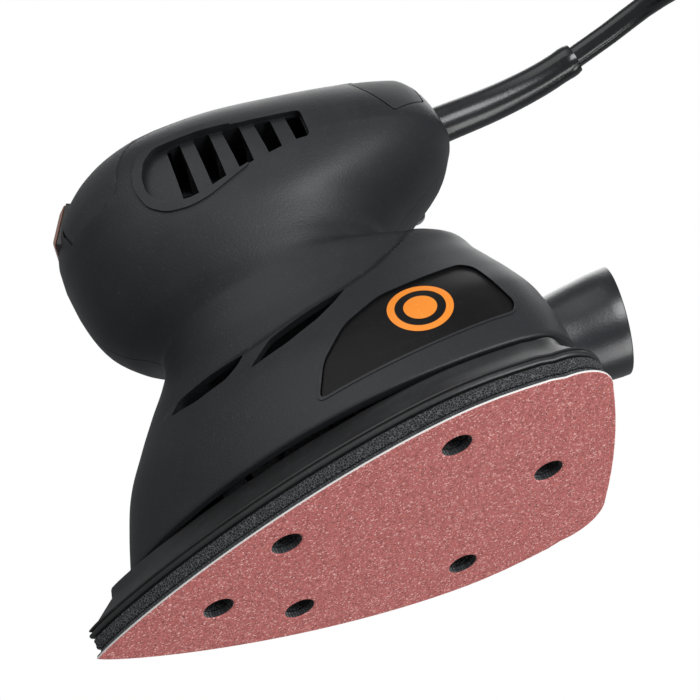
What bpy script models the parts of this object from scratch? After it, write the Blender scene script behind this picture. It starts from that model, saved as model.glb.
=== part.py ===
"""Detail mouse sander with its mains lead: every physical piece as its own solid, in metres, +Z up.

The tool stands on its sanding sheet at z = 0 with its pointed nose toward -Y and its lead toward +Y.
"""
import math

import bmesh
import bpy
import numpy as np
from mathutils import Matrix, Vector

MM = 0.001
GAP = 0.3  # clearance between pieces that touch, in mm

# Sanding pad
SHEET_LENGTH = 140.0
SHEET_WIDTH = 89.0
NOSE_Y = -80.0
TAIL_Y = NOSE_Y + SHEET_LENGTH
SHEET_TOP = 0.9
HOOK_TOP = 1.9
FOAM_TOP = 5.4
RIM_TOP = 8.2
PLATEN_TOP = 15.2
DUST_HOLE_RADIUS = 4.0
DUST_HOLES = ((0.0, -48.3), (17.6, -28.4), (-17.6, -28.4), (30.7, 16.8), (-30.7, 16.8), (0.0, 41.3))

# Housing: height, front, rear, half width, widest place, front power, nose power, tail taper, tail power
SKIRT_BOTTOM = 17.5
WALL = 2.8
SECTIONS = (
    (17.5, -65.0, 59.8, 38.0, 18.0, 2.1, 1.25, 0.14, 7.0),
    (28.0, -61.5, 60.0, 36.8, 18.0, 2.1, 1.35, 0.16, 7.0),
    (38.0, -57.5, 59.5, 34.8, 18.0, 2.1, 1.45, 0.18, 7.0),
    (48.0, -51.0, 57.5, 31.0, 16.0, 2.1, 1.60, 0.20, 6.5),
    (56.0, -45.0, 55.0, 28.0, 13.0, 2.1, 1.80, 0.22, 6.0),
    (63.0, -39.5, 52.5, 26.2, 9.0, 2.1, 1.90, 0.24, 5.5),
    (68.0, -36.5, 51.2, 25.5, 5.0, 2.1, 2.00, 0.20, 4.5),
    (71.5, -35.8, 46.0, 25.4, 3.0, 2.1, 2.00, 0.18, 3.4),
    (74.5, -38.0, 33.8, 25.8, 1.0, 2.1, 2.00, 0.14, 2.5),
    (79.0, -44.0, 32.5, 27.2, -2.0, 2.1, 2.00, 0.16, 2.5),
    (86.0, -48.6, 38.8, 29.4, -5.0, 2.1, 2.00, 0.26, 2.9),
    (93.0, -50.3, 49.5, 31.2, -7.0, 2.1, 2.00, 0.34, 4.5),
    (99.0, -51.0, 58.0, 32.0, -8.0, 2.1, 2.00, 0.42, 6.5),
    (106.0, -51.3, 63.0, 32.4, -8.0, 2.1, 2.00, 0.44, 8.0),
)
CROWN_BOTTOM = SECTIONS[-1][0]
CROWN_POWER = 2.3
CROWN_SPINE = (-18.0, 55.0)
TOP_LINE = ((-60.0, 130.5), (-30.0, 135.0), (-5.0, 135.8), (25.0, 132.2), (48.0, 129.6), (66.0, 128.8))
AROUND = 36
LEVELS = (17.5, 25.0, 34.0, 43.0, 51.0, 58.0, 64.0, 68.5, 71.5, 74.5, 78.0, 83.0, 90.0, 97.0)
CROWN_RINGS = (1.0, 0.97, 0.88, 0.74, 0.52, 0.26, 0.0)

# Motor line, all about the vertical axis x = y = 0
ORBIT = 0.9  # the pad's offset from the motor axis
SHAFT_RADIUS = 3.0
STATOR_RADIUS = 21.4
STATOR_Z = (67.0, 87.0)
DECK_Z = (55.0, 60.0)
CRADLE_Z = (74.0, 77.0)
BRIDGE_Z = (111.0, 117.5)
BALL_BEARING_HEIGHT = 7.0
BEARING_RADIUS = 11.0

# Fixings: (y, z) of the four housing screws, (x, y) of the four rubber posts
HOUSING_SCREWS = ((-38.0, 96.0), (-30.0, 64.0), (43.0, 60.0), (48.0, 99.0))
POSTS = ((24.0, 32.0), (-24.0, 32.0), (14.0, -34.0), (-14.0, -34.0))
POST_TOP = 30.0

# Side openings and inlays, as (y, z) outlines on the flanks or (x, y) outlines seen from above
VENT_FRONT = (-16.5, 107.5, 10.5)
VENT_REAR = (21.0, 109.5, 5.5)
VENT_SLOTS = (-11.5, -3.2, 5.2, 13.6, 21.4)
LABEL = ((-8, 24), (-3, 33.5), (6, 42), (17, 47), (40, 49), (42.8, 46.5), (46, 30), (44.3, 27))
INTAKES = (
    ((-40, 47.3), (-36, 50.5), (-19.5, 49.3), (-25, 45.6)),
    ((-19, 44.2), (-11.5, 49.6), (10.5, 54.2), (2, 48.6)),
)
GRIP = (
    (12, -38.5), (12.8, -46.6), (16.5, -45.2), (19.4, -42.3), (21.7, -39.8), (24.9, -35.3), (27.2, -30.6),
    (27.6, -29.2), (27, -27.4), (26.2, -25.1), (24.1, -21), (22.6, -12), (21.4, 2), (19.4, 22), (17.2, 43),
)
INLAY = ((9.5, 45.0), (13.5, 52.0), (12.0, 58.5))
SKIN = 1.3  # thickness of inlaid pieces

# Switch, on the slanted front of the head
SWITCH_CENTRE = (0.0, -45.4, 119.8)
SWITCH_TILT = math.radians(30.0)

# Rear fittings
PORT_Z = 33.0
PORT_END_Y = 80.0
PORT_SLANT = 5.0  # how much shorter the outlet is underneath than on top
LEAD_Z = 113.4
LEAD_RADIUS = 3.25
RELIEF_END = (5.0, 106.0, 114.8)
# Free part of the lead from the strain relief to the coil lying on the bench
LEAD_ROUTE = (
    (5.0, 106.0, 114.8),
    (9.0, 117.5, 115.6),
    (15.5, 129.5, 115.4),
    (25.0, 139.0, 110.0),
    (35.0, 144.5, 96.0),
    (41.5, 146.0, 75.0),
    (43.0, 146.0, 50.0),
    (40.5, 147.8, 29.0),
    (33.5, 155.0, 12.5),
    (25.3, 164.4, 5.4),
)
COIL_CENTRE = (-26.0, 158.0)
COIL_RADIUS = 36.5
COIL_HALF_WIDTH = 10.0
COIL_HEIGHT = 20.4
COIL_Z = 11.7  # middle of the coil, which rests on the strap round it
PLUG_CENTRE = (-42.0, 194.5, 30.4)  # lies on the coil


def clear_scene():
    for item in list(bpy.data.objects):
        bpy.data.objects.remove(item, do_unlink=True)


def material(name, colour, roughness, metallic=0.0, alpha=1.0):
    """A plain Principled material for one sub-part."""
    made = bpy.data.materials.new(name)
    made.use_nodes = True
    shader = made.node_tree.nodes["Principled BSDF"]
    shader.inputs["Base Color"].default_value = (*colour, 1.0)
    shader.inputs["Roughness"].default_value = roughness
    shader.inputs["Metallic"].default_value = metallic
    shader.inputs["Alpha"].default_value = alpha
    return made


def new_object(name, mesh):
    made = bpy.data.objects.new(name, mesh)
    bpy.context.scene.collection.objects.link(made)
    return made


def from_bmesh(name, bm):
    bmesh.ops.remove_doubles(bm, verts=bm.verts, dist=0.00001)
    bmesh.ops.recalc_face_normals(bm, faces=bm.faces)
    mesh = bpy.data.meshes.new(name)
    bm.to_mesh(mesh)
    bm.free()
    return new_object(name, mesh)


def loft(name, rings):
    """A closed skin over rings of points given in mm, with both end rings filled."""
    bm = bmesh.new()
    rows = [[bm.verts.new(Vector(point) * MM) for point in ring] for ring in rings]
    for low, high in zip(rows, rows[1:]):
        for index, corner in enumerate(low):
            after = (index + 1) % len(low)
            bm.faces.new((corner, low[after], high[after], high[index]))
    bm.faces.new(list(reversed(rows[0])))
    bm.faces.new(rows[-1])
    return from_bmesh(name, bm)


def prism(name, outline, low, high, axis="Z"):
    """An outline in mm pulled from low to high along one axis."""
    def place(a, b, along):
        return {"Z": (a, b, along), "X": (along, a, b), "Y": (a, along, b)}[axis]

    return loft(name, [[place(a, b, along) for a, b in outline] for along in (low, high)])


def box(name, low, high):
    outline = ((low[0], low[1]), (high[0], low[1]), (high[0], high[1]), (low[0], high[1]))
    return prism(name, outline, low[2], high[2])


def circle(radius, sides, centre=(0.0, 0.0)):
    """Points round a circle, started a little off the axes so that cuts never meet edge on edge."""
    angles = [2 * math.pi * (step + 0.31) / sides for step in range(sides)]
    return [(centre[0] + radius * math.cos(a), centre[1] + radius * math.sin(a)) for a in angles]


def rod(name, radius, low, high, centre=(0.0, 0.0), axis="Z", sides=20):
    return prism(name, circle(radius, sides, centre), low, high, axis)


def turned(name, profile, sides=24, centre=(0.0, 0.0)):
    """A (radius, height) profile turned about a vertical axis with the Screw modifier."""
    mesh = bpy.data.meshes.new(name)
    points = [(radius * MM, 0.0, height * MM) for radius, height in profile]
    closed = min(radius for radius, _ in profile) > 0
    edges = [(step, step + 1) for step in range(len(points) - 1)]
    if closed:
        edges.append((len(points) - 1, 0))
    mesh.from_pydata(points, edges, [])
    made = new_object(name, mesh)
    screw = made.modifiers.new("Turn", "SCREW")
    screw.axis = "Z"
    screw.steps = sides
    screw.render_steps = sides
    screw.use_merge_vertices = True
    screw.merge_threshold = 0.00001
    bake(made)
    face_out(made)
    move(made, (centre[0], centre[1], 0.0))
    return made


def bake(item):
    """Replace an object's mesh with the result of its modifiers."""
    graph = bpy.context.evaluated_depsgraph_get()
    result = bpy.data.meshes.new_from_object(item.evaluated_get(graph))
    item.modifiers.clear()
    item.data = result


def face_out(item):
    bm = bmesh.new()
    bm.from_mesh(item.data)
    bmesh.ops.remove_doubles(bm, verts=bm.verts, dist=0.00001)
    bmesh.ops.recalc_face_normals(bm, faces=bm.faces)
    if bm.calc_volume(signed=True) < 0:
        bmesh.ops.reverse_faces(bm, faces=bm.faces)
    bm.to_mesh(item.data)
    bm.free()


def move(item, offset):
    item.data.transform(Matrix.Translation(Vector(offset) * MM))


def turn(item, angle, axis, pivot=(0.0, 0.0, 0.0)):
    place = Matrix.Translation(Vector(pivot) * MM)
    item.data.transform(place @ Matrix.Rotation(angle, 4, axis) @ place.inverted())


def combine(item, other, how):
    """Boolean one solid with another and throw the other away."""
    tool = item.modifiers.new(how, "BOOLEAN")
    tool.operation = how
    tool.solver = "EXACT"
    tool.object = other
    bake(item)
    bpy.data.objects.remove(other, do_unlink=True)
    bm = bmesh.new()
    bm.from_mesh(item.data)
    bmesh.ops.remove_doubles(bm, verts=bm.verts, dist=0.000005)
    bmesh.ops.dissolve_degenerate(bm, edges=bm.edges, dist=0.000003)
    bm.to_mesh(item.data)
    bm.free()
    return item


def cut(item, *others):
    for other in others:
        combine(item, other, "DIFFERENCE")
    return item


def join(item, *others):
    for other in others:
        combine(item, other, "UNION")
    return item


def keep(item, other):
    return combine(item, other, "INTERSECT")


def clean(item):
    """Melt slivers left by cutting and split what is left into sound faces."""
    bm = bmesh.new()
    bm.from_mesh(item.data)
    bmesh.ops.remove_doubles(bm, verts=bm.verts, dist=0.00002)
    bmesh.ops.dissolve_degenerate(bm, edges=bm.edges, dist=0.00001)
    bmesh.ops.triangulate(bm, faces=bm.faces)
    bmesh.ops.recalc_face_normals(bm, faces=bm.faces)
    bm.to_mesh(item.data)
    bm.free()


def finish(item, look, smooth=True):
    clean(item)
    item.data.materials.clear()
    item.data.materials.append(look)
    for face in item.data.polygons:
        face.use_smooth = smooth
    return item


def monotone(table, column, at):
    """Smooth reading of one column of a table whose first column rises, with no overshoot."""
    places = [row[0] for row in table]
    values = [row[column] for row in table]
    if at <= places[0]:
        return values[0]
    if at >= places[-1]:
        return values[-1]
    slopes = [(b - a) / (q - p) for a, b, p, q in zip(values, values[1:], places, places[1:])]
    tangents = [slopes[0]]
    for before, after in zip(slopes, slopes[1:]):
        flat = before * after <= 0
        tangents.append(0.0 if flat else 2 * before * after / (before + after))
    tangents.append(slopes[-1])
    index = max(step for step in range(len(places) - 1) if places[step] <= at)
    width = places[index + 1] - places[index]
    t = (at - places[index]) / width
    return (
        (2 * t**3 - 3 * t**2 + 1) * values[index]
        + (t**3 - 2 * t**2 + t) * width * tangents[index]
        + (3 * t**2 - 2 * t**3) * values[index + 1]
        + (t**3 - t**2) * width * tangents[index + 1]
    )


def housing_outline(height, inset):
    """One level of the housing as (x, y) points, from the +X side round by the rear."""
    read = [monotone(SECTIONS, column, height) for column in range(1, 9)]
    front, rear, half, widest, front_power, nose_power, taper, tail_power = read
    front += inset
    rear -= inset
    half -= inset
    points = []
    for step in range(AROUND):
        angle = 2 * math.pi * step / AROUND
        reach = abs(math.sin(angle))
        side = math.copysign(1.0, math.cos(angle)) if abs(math.cos(angle)) > 1e-9 else 0.0
        if math.sin(angle) >= 0:
            y = widest + (rear - widest) * reach
            x = half * (1 - taper * reach**2) * max(0.0, 1 - reach**tail_power) ** (1 / 2.6)
        else:
            y = widest - (widest - front) * reach
            x = half * max(0.0, 1 - reach**front_power) ** (1 / nose_power)
        points.append((side * x, y))
    return points


def housing_body(name, inset=0.0, bottom=SKIRT_BOTTOM):
    """The housing as one full solid, drawn in from its outer face by inset."""
    rings = []
    if bottom < SKIRT_BOTTOM:
        rings.append([(x, y, bottom) for x, y in housing_outline(SKIRT_BOTTOM, inset)])
    for height in LEVELS:
        rings.append([(x, y, height) for x, y in housing_outline(height, inset)])
    widest = housing_outline(CROWN_BOTTOM, inset)
    for spread in CROWN_RINGS:
        rise = max(0.0, 1 - spread**CROWN_POWER) ** (1 / CROWN_POWER)
        ring = []
        for x, y in widest:
            spine = min(max(y, CROWN_SPINE[0]), CROWN_SPINE[1])
            along = spine + (y - spine) * spread
            top = monotone(TOP_LINE, 1, along) - inset
            ring.append((x * spread, along, CROWN_BOTTOM + (top - CROWN_BOTTOM) * rise))
        rings.append(ring)
    return loft_with_ridge(name, rings)


def loft_with_ridge(name, rings):
    """Like loft, but the last ring has already closed onto a line, so only the first is filled."""
    bm = bmesh.new()
    rows = [[bm.verts.new(Vector(point) * MM) for point in ring] for ring in rings]
    for low, high in zip(rows, rows[1:]):
        for index, corner in enumerate(low):
            after = (index + 1) % len(low)
            bm.faces.new((corner, low[after], high[after], high[index]))
    bm.faces.new(list(reversed(rows[0])))
    bmesh.ops.remove_doubles(bm, verts=bm.verts, dist=0.00001)
    bmesh.ops.dissolve_degenerate(bm, edges=bm.edges, dist=0.00001)
    bmesh.ops.triangulate(bm, faces=bm.faces)
    return from_bmesh(name, bm)


def flank(y, z, inset=0.0):
    """Half width of the housing at a place on its side below the crown."""
    points = sorted((p[1], p[0]) for p in housing_outline(z, inset) if p[0] >= 0)
    return float(np.interp(y, [p[0] for p in points], [p[1] for p in points]))


def thread_reach(y, z):
    """How far past the middle a case screw's hole runs, ending inside the far flank."""
    return min(14.0, flank(y, z) - 2.5)


def mirrored(outline):
    """A half outline of (x, y) points closed across the middle plane."""
    other = [(-x, y) for x, y in reversed(outline) if x > 0]
    return list(outline) + other


def skin_piece(name, area, outer, inner):
    """The part of the housing's skin inside an area, between two depths."""
    piece = housing_body(name, outer)
    keep(piece, area)
    return cut(piece, housing_body("inner", inner, SKIRT_BOTTOM - 5))


def grow(outline, amount):
    """An outline with every edge moved outward by one amount, its corners kept sharp."""
    points = [Vector(point) for point in outline]
    area = sum(p.x * q.y - q.x * p.y for p, q in zip(points, points[1:] + points[:1]))
    outward = amount if area > 0 else -amount
    grown = []
    for before, here, after in zip(points[-1:] + points, points, points[1:] + points[:1]):
        arriving = (here - before).normalized()
        leaving = (after - here).normalized()
        bisector = Vector((arriving.y + leaving.y, -arriving.x - leaving.x)).normalized()
        share = max(0.35, bisector.dot(Vector((arriving.y, -arriving.x))))
        grown.append(tuple(here + bisector * outward / share))
    return grown


def vent_outline(inset):
    """Teardrop round both vent centres, as (y, z) points."""
    points = []
    for (y, z, radius), start, sweep in ((VENT_FRONT, 97, 170), (VENT_REAR, -83, 170)):
        for step in range(9):
            angle = math.radians(start + sweep * step / 8)
            points.append((y + (radius - inset) * math.cos(angle), z + (radius - inset) * math.sin(angle)))
    return points


def vent_slot(y, side):
    """One slot through the wall, following the teardrop's height at its place."""
    share = (y - VENT_FRONT[0]) / (VENT_REAR[0] - VENT_FRONT[0])
    middle = VENT_FRONT[1] + (VENT_REAR[1] - VENT_FRONT[1]) * share
    half = VENT_FRONT[2] + (VENT_REAR[2] - VENT_FRONT[2]) * share - 1.6
    lean = 0.35
    outline = (
        (y - 1.8 + lean, middle - half),
        (y + 1.8 + lean, middle - half),
        (y + 1.8 - lean, middle + half),
        (y - 1.8 - lean, middle + half),
    )
    return prism("slot", outline, *sorted((side * 18, side * 40)), axis="X")


def build_housing():
    """Two clamshell halves with their ribs, bosses, vents and recesses."""
    shell = housing_body("shell")
    cut(shell, housing_body("cavity", WALL, SKIRT_BOTTOM - 5))
    for low, high, reach in ((*DECK_Z, 70), (*CRADLE_Z, 30), (*BRIDGE_Z, 13)):
        web = housing_body("web", 1.2)
        join(shell, keep(web, box("slab", (-50, -reach, low), (50, reach, high))))
    shelf = keep(housing_body("shelf", 1.2), box("slab", (-50, 38, 104), (50, 48, 109.6)))
    join(shell, shelf)
    for x, y in POSTS:
        boss = rod("boss", 5.0, POST_TOP, DECK_Z[0] + 1, (x, y), sides=14)
        join(shell, keep(housing_body("inside", 1.2), boss))
    for y, z in HOUSING_SCREWS:
        boss = keep(housing_body("boss", 1.2), rod("round", 4.0, -50, 50, (y, z), "X", 12))
        join(shell, boss)
    bores = (
        rod("bore", BEARING_RADIUS + GAP, DECK_Z[0] - 5, DECK_Z[1] + 5),
        rod("bore", STATOR_RADIUS + GAP, CRADLE_Z[0] - 5, CRADLE_Z[1] + 5, sides=28),
        rod("bore", 9.5 + GAP, BRIDGE_Z[0] - 5, BRIDGE_Z[1] + 5),
        rod("port hole", 13.3, 50, 70, (0, PORT_Z), "Y", 24),
        rod("lead hole", 5.8, 56, 72, (0, LEAD_Z), "Y", 16),
        rod("seat", 4.0, 30, 56, (0, LEAD_Z), "Y", 16),
        switch_block("mouth", 11.0, 7.6, -16, 12),
    )
    cut(shell, *bores)
    for x in (-9.0, 9.0):
        cut(shell, rod("thread", 1.8, 103, 111, (x, 43), sides=10))
    for y, z in HOUSING_SCREWS:
        seat = flank(y, z) - 4.0
        cut(shell, rod("thread", 1.8, -60, thread_reach(y, z), (y, z), "X", 10))
        cut(shell, rod("counterbore", 3.7, -60, -seat, (y, z), "X", 14))
    for side in (1, -1):
        span = sorted((side * 18, side * 45))
        recess = keep(housing_body("recess", -1.0), prism("area", vent_outline(0), *span, axis="X"))
        cut(shell, cut(recess, housing_body("floor", 1.3)))
        for y in VENT_SLOTS:
            cut(shell, vent_slot(y, side))
        for outline in INTAKES:
            cut(shell, prism("intake", outline, *sorted((side * 14, side * 45)), axis="X"))
        area = prism("area", grow(LABEL, GAP), *sorted((side * 20, side * 45)), axis="X")
        recess = keep(housing_body("recess", -1.0), area)
        cut(shell, cut(recess, housing_body("floor", SKIN + 0.5 + GAP, SKIRT_BOTTOM - 5)))
    for outline in (mirrored(GRIP), mirrored(INLAY)):
        recess = keep(housing_body("recess", -1.0), prism("area", grow(outline, GAP), 108, 140))
        cut(shell, cut(recess, housing_body("floor", SKIN + GAP)))
    halves = []
    for name, side in (("housing_left", 1), ("housing_right", -1)):
        half = new_object(name, shell.data.copy())
        away = sorted((side * GAP / 2, -side * 60))
        cut(half, box("other half", (away[0], -100, 0), (away[1], 100, 160)))
        halves.append(finish(half, material(name, (0.02, 0.021, 0.023), 0.55)))
    bpy.data.objects.remove(shell, do_unlink=True)
    return halves


def build_inlays():
    rubber = (0.014, 0.014, 0.015)
    grip = skin_piece("grip_strip", prism("area", mirrored(GRIP), 108, 140), -0.1, SKIN)
    for y in (-21.0, -9.5, 2.0, 13.5):
        area = box("area", (-9, y, 120), (9, y + 5.5, 140))
        join(grip, skin_piece("ridge", area, -1.2, SKIN * 0.5))
    finish(grip, material("grip_strip", rubber, 0.75))
    inlay = skin_piece("tail_inlay", prism("area", mirrored(INLAY), 108, 140), 0.1, SKIN)
    finish(inlay, material("tail_inlay", rubber, 0.7))
    for name, side in (("label_plate_left", 1), ("label_plate_right", -1)):
        area = prism("area", LABEL, *sorted((side * 20, side * 45)), axis="X")
        plate = skin_piece(name, area, 0.5, SKIN + 0.5)
        finish(plate, material(name, (0.008, 0.008, 0.009), 0.3))


def switch_block(name, half_width, half_height, inward, outward):
    """A block standing on the switch's slanted face, between two distances along its normal."""
    outline = ((-half_width, -half_height), (half_width, -half_height))
    outline += ((half_width, half_height), (-half_width, half_height))
    block = prism(name, outline, inward, outward)
    return tilt_to_switch(block)


def tilt_to_switch(item):
    """Stand an object drawn about the origin, +Z outward, on the switch's slanted face."""
    turn(item, math.pi / 2 - SWITCH_TILT, "X")
    move(item, SWITCH_CENTRE)
    return item


def build_switch():
    """Rocker switch, its bezel and the clear faceted dust boot over it."""
    bezel = switch_block("switch_bezel", 10.7, 7.3, -3.0, 0.6)
    cut(bezel, switch_block("opening", 8.4, 5.4, -6, 3))
    finish(bezel, material("switch_bezel", (0.01, 0.01, 0.01), 0.4), smooth=False)
    body = switch_block("switch_body", 8.0, 5.0, -15.0, -3.4)
    finish(body, material("switch_body", (0.03, 0.03, 0.03), 0.5), smooth=False)
    rocker = loft("switch_rocker", [
        [(-6.5, -3.9, -2.6), (6.5, -3.9, -2.6), (6.5, 3.9, -2.6), (-6.5, 3.9, -2.6)],
        [(-6.5, -4.2, 0.0), (6.5, -4.2, 0.0), (6.5, 4.2, 1.0), (-6.5, 4.2, 1.0)],
    ])
    tilt_to_switch(rocker)
    finish(rocker, material("switch_rocker", (0.012, 0.012, 0.012), 0.35), smooth=False)
    outside = boot_form("switch_boot", 10.2, 6.9, 0.9, 3.0)
    cut(outside, boot_form("inside", 9.3, 6.0, 0.5, 2.4))
    finish(outside, material("switch_boot", (0.42, 0.22, 0.14), 0.15, alpha=0.55), smooth=False)


def boot_form(name, half_width, half_height, base, peak):
    """A low hipped roof on the switch's face."""
    rings = [
        [(-half_width, -half_height, base), (half_width, -half_height, base),
         (half_width, half_height, base), (-half_width, half_height, base)],
        [(-half_width * 0.82, -half_height * 0.72, base + (peak - base) * 0.62),
         (half_width * 0.82, -half_height * 0.72, base + (peak - base) * 0.62),
         (half_width * 0.82, half_height * 0.72, base + (peak - base) * 0.62),
         (-half_width * 0.82, half_height * 0.72, base + (peak - base) * 0.62)],
        [(-half_width * 0.55, -half_height * 0.12, peak), (half_width * 0.55, -half_height * 0.12, peak),
         (half_width * 0.55, half_height * 0.12, peak), (-half_width * 0.55, half_height * 0.12, peak)],
    ]
    return tilt_to_switch(loft(name, rings))


def pad_outline(inset, steps=13):
    """The pointed plan of the sanding sheet as (x, y) points, drawn in by inset."""
    half = SHEET_WIDTH / 2 - inset
    widest = NOSE_Y + SHEET_LENGTH * 0.73
    nose = NOSE_Y + inset * 1.35
    right = []
    for step in range(steps + 1):
        reach = 1 - step / steps
        right.append((half * (1 - reach**1.62) ** (1 / 1.13), widest - (widest - nose) * reach))
    corner = 13.0 - min(inset, 8.0)
    tail = TAIL_Y - inset
    side = half * 0.925
    right.append((half * 0.982, (widest + tail - corner) / 2))
    for step in range(6):
        angle = math.radians(90 * step / 5)
        bow = 1.6
        right.append((side - corner + corner * math.cos(angle), tail - bow - corner + corner * math.sin(angle)))
    right.append(((side - corner) * 0.5, tail - 0.4))
    left = [(-x, y) for x, y in reversed(right) if x > 0.001]
    return right + [(0.0, tail)] + left


def dust_holes(item, radius, low, high, shift=0.0):
    for x, y in DUST_HOLES:
        cut(item, rod("hole", radius, low, high, (x, y + shift), sides=14))
    return item


def build_pad():
    """Sheet, hook face, foam and platen, all carried by the eccentric."""
    layers = (
        ("sanding_sheet", 0.0, 0.0, SHEET_TOP, (0.42, 0.1, 0.11), 0.9),
        ("hook_face", 1.2, SHEET_TOP + GAP, HOOK_TOP, (0.05, 0.05, 0.055), 0.9),
        ("foam_pad", 0.7, HOOK_TOP + GAP, FOAM_TOP, (0.06, 0.06, 0.065), 0.95),
    )
    for name, inset, low, high, colour, roughness in layers:
        layer = prism(name, pad_outline(inset), low, high)
        dust_holes(layer, DUST_HOLE_RADIUS, low - 1, high + 1)
        finish(layer, material(name, colour, roughness), smooth=False)
    levels = (
        (FOAM_TOP + GAP, 0.2), (RIM_TOP - 1.3, 0.2), (RIM_TOP - 1.0, 0.9), (RIM_TOP, 0.9),
        (RIM_TOP + 0.3, 1.7), (PLATEN_TOP - 1.2, 7.2), (PLATEN_TOP, 8.6),
    )
    rings = [[(x, y, height) for x, y in pad_outline(inset)] for height, inset in levels]
    platen = loft("platen", rings)
    basin = [[(x, y, height) for x, y in pad_outline(inset)] for height, inset in ((8.9, 12), (20, 11))]
    cut(platen, loft("basin", basin))
    join(platen, rod("hub", 14.0, 8.5, 19.4, (0, ORBIT), sides=24))
    for x, y in DUST_HOLES:
        join(platen, rod("sleeve", 5.6, 8.5, PLATEN_TOP - 1.5, (x, y), sides=16))
    for x, y in POSTS:
        join(platen, rod("socket", 6.0, 8.5, PLATEN_TOP, (x, y), sides=14))
    cut(platen, rod("pocket", BEARING_RADIUS + GAP, 11.4, 25, (0, ORBIT), sides=24))
    cut(platen, rod("relief", 6.5, 8.6, 25, (0, ORBIT), sides=20))
    dust_holes(platen, DUST_HOLE_RADIUS, 0, 30)
    finish(platen, material("platen", (0.016, 0.016, 0.017), 0.4))
    rubber = material("post", (0.015, 0.015, 0.015), 0.8)
    for index, (x, y) in enumerate(POSTS, 1):
        low = PLATEN_TOP + GAP
        high = POST_TOP - GAP
        waist = (low + high) / 2
        profile = ((0.0, high), (4.8, high), (4.8, high - 2), (3.6, waist), (4.8, low + 2), (4.8, low), (0.0, low))
        finish(turned(f"rubber_post_{index}", profile, 14, (x, y)), rubber)


def ring(name, inner, outer, low, high, look, sides=24, centre=(0.0, 0.0)):
    profile = ((outer, high), (outer, low), (inner, low), (inner, high))
    return finish(turned(name, profile, sides, centre), look)


def build_motor():
    """Universal motor standing on its deck, from the commutator down to the fan."""
    steel = material("steel", (0.55, 0.55, 0.56), 0.3, 1.0)
    iron = material("laminated_iron", (0.3, 0.3, 0.31), 0.45, 1.0)
    copper = material("enamelled_copper", (0.55, 0.22, 0.08), 0.35, 1.0)
    bore = SHAFT_RADIUS + GAP
    stator = rod("stator", STATOR_RADIUS, *STATOR_Z, sides=28)
    window = rod("window", 18.9, STATOR_Z[0] - 1, STATOR_Z[1] + 1, sides=28)
    cut(window, box("pole", (-7, -25, 0), (7, 25, 200)))
    cut(stator, window, rod("bore", 12.1, STATOR_Z[0] - 1, STATOR_Z[1] + 1))
    finish(stator, iron)
    for name, side in (("field_coil_front", -1), ("field_coil_rear", 1)):
        near, far = sorted((side * 12.5, side * 14.7))
        coil = box(name, (-11.2, near, STATOR_Z[0] - 5), (11.2, far, STATOR_Z[1] + 5))
        cut(coil, box("eye", (-7.3, -30, STATOR_Z[0] - GAP), (7.3, 30, STATOR_Z[1] + GAP)))
        finish(coil, copper, smooth=False)
    finish(rod("shaft", SHAFT_RADIUS, 26.6, 121, sides=16), steel)
    ring("armature_core", bore, 11.5, STATOR_Z[0] + 0.5, STATOR_Z[1] - 0.5, iron)
    ring("armature_winding_lower", bore, 9.8, STATOR_Z[0] - 4.5, STATOR_Z[0] + 0.2, copper)
    ring("armature_winding_upper", bore, 9.8, STATOR_Z[1] - 0.2, STATOR_Z[1] + 4.5, copper)
    ring("commutator", bore, 8.8, 94.5, 103.5, copper)
    ring("bearing_upper", bore, 9.5, BRIDGE_Z[0] + 0.3, BRIDGE_Z[1] - 0.3, steel)
    ring("bearing_lower", bore, BEARING_RADIUS, 54.2, 54.2 + BALL_BEARING_HEIGHT, steel)
    carbon = material("carbon", (0.05, 0.05, 0.05), 0.6)
    brass = material("brass", (0.7, 0.5, 0.2), 0.35, 1.0)
    for name, side in (("front", -1), ("rear", 1)):
        near, far = sorted((side * 9.1, side * 18.0))
        brush = box(f"carbon_brush_{name}", (-2.5, near, 96.0), (2.5, far, 102.0))
        finish(brush, carbon, smooth=False)
        near, far = sorted((side * 11.5, side * 24.0))
        holder = box(f"brush_holder_{name}", (-3.8, near, 94.7), (3.8, far, 103.3))
        near, far = sorted((side * 10, side * 23.0))
        cut(holder, box("slide", (-2.8, near, 95.7), (2.8, far, 102.3)))
        finish(holder, brass, smooth=False)
    build_fan(bore)
    build_crank(steel)


def build_fan(bore):
    """Dust and cooling fan with its balance weight."""
    fan = turned("fan", ((27.0, 36.0), (27.0, 34.4), (bore, 34.4), (bore, 48.0), (7.0, 48.0), (9.0, 36.0)), 28)
    for step in range(9):
        blade = box("blade", (7.0, -0.6, 35.5), (25.5, 0.6, 46.0))
        turn(blade, math.radians(14), "Z", (7.0, 0.0, 0.0))
        turn(blade, 2 * math.pi * step / 9, "Z")
        join(fan, blade)
    weight = [(8.0 * math.cos(a), 8.0 * math.sin(a)) for a in np.radians(np.linspace(215, 325, 7))]
    weight += [(19.0 * math.cos(a), 19.0 * math.sin(a)) for a in np.radians(np.linspace(325, 215, 9))]
    join(fan, prism("weight", weight, 30.0, 34.8))
    finish(fan, material("fan", (0.3, 0.31, 0.32), 0.5), smooth=False)


def build_crank(steel):
    """Eccentric on the shaft's end, with the bearing and screw that hold the pad."""
    crank = rod("eccentric", 7.2, 22.0, 33.9, sides=20)
    join(crank, rod("journal", 4.0, 12.0, 24.0, (0, ORBIT), sides=18))
    cut(crank, rod("bore", SHAFT_RADIUS + GAP, 26.3, 40, sides=16))
    finish(crank, steel)
    ring("bearing_pad", 4.0 + GAP, BEARING_RADIUS, 11.9, 18.9, steel, centre=(0.0, ORBIT))
    screw = rod("pad_screw", 5.2, 9.4, 11.5, (0, ORBIT), sides=18)
    cut(screw, prism("recess", circle(2.0, 6, (0, ORBIT)), 9.0, 10.6))
    finish(screw, steel, smooth=False)


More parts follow.
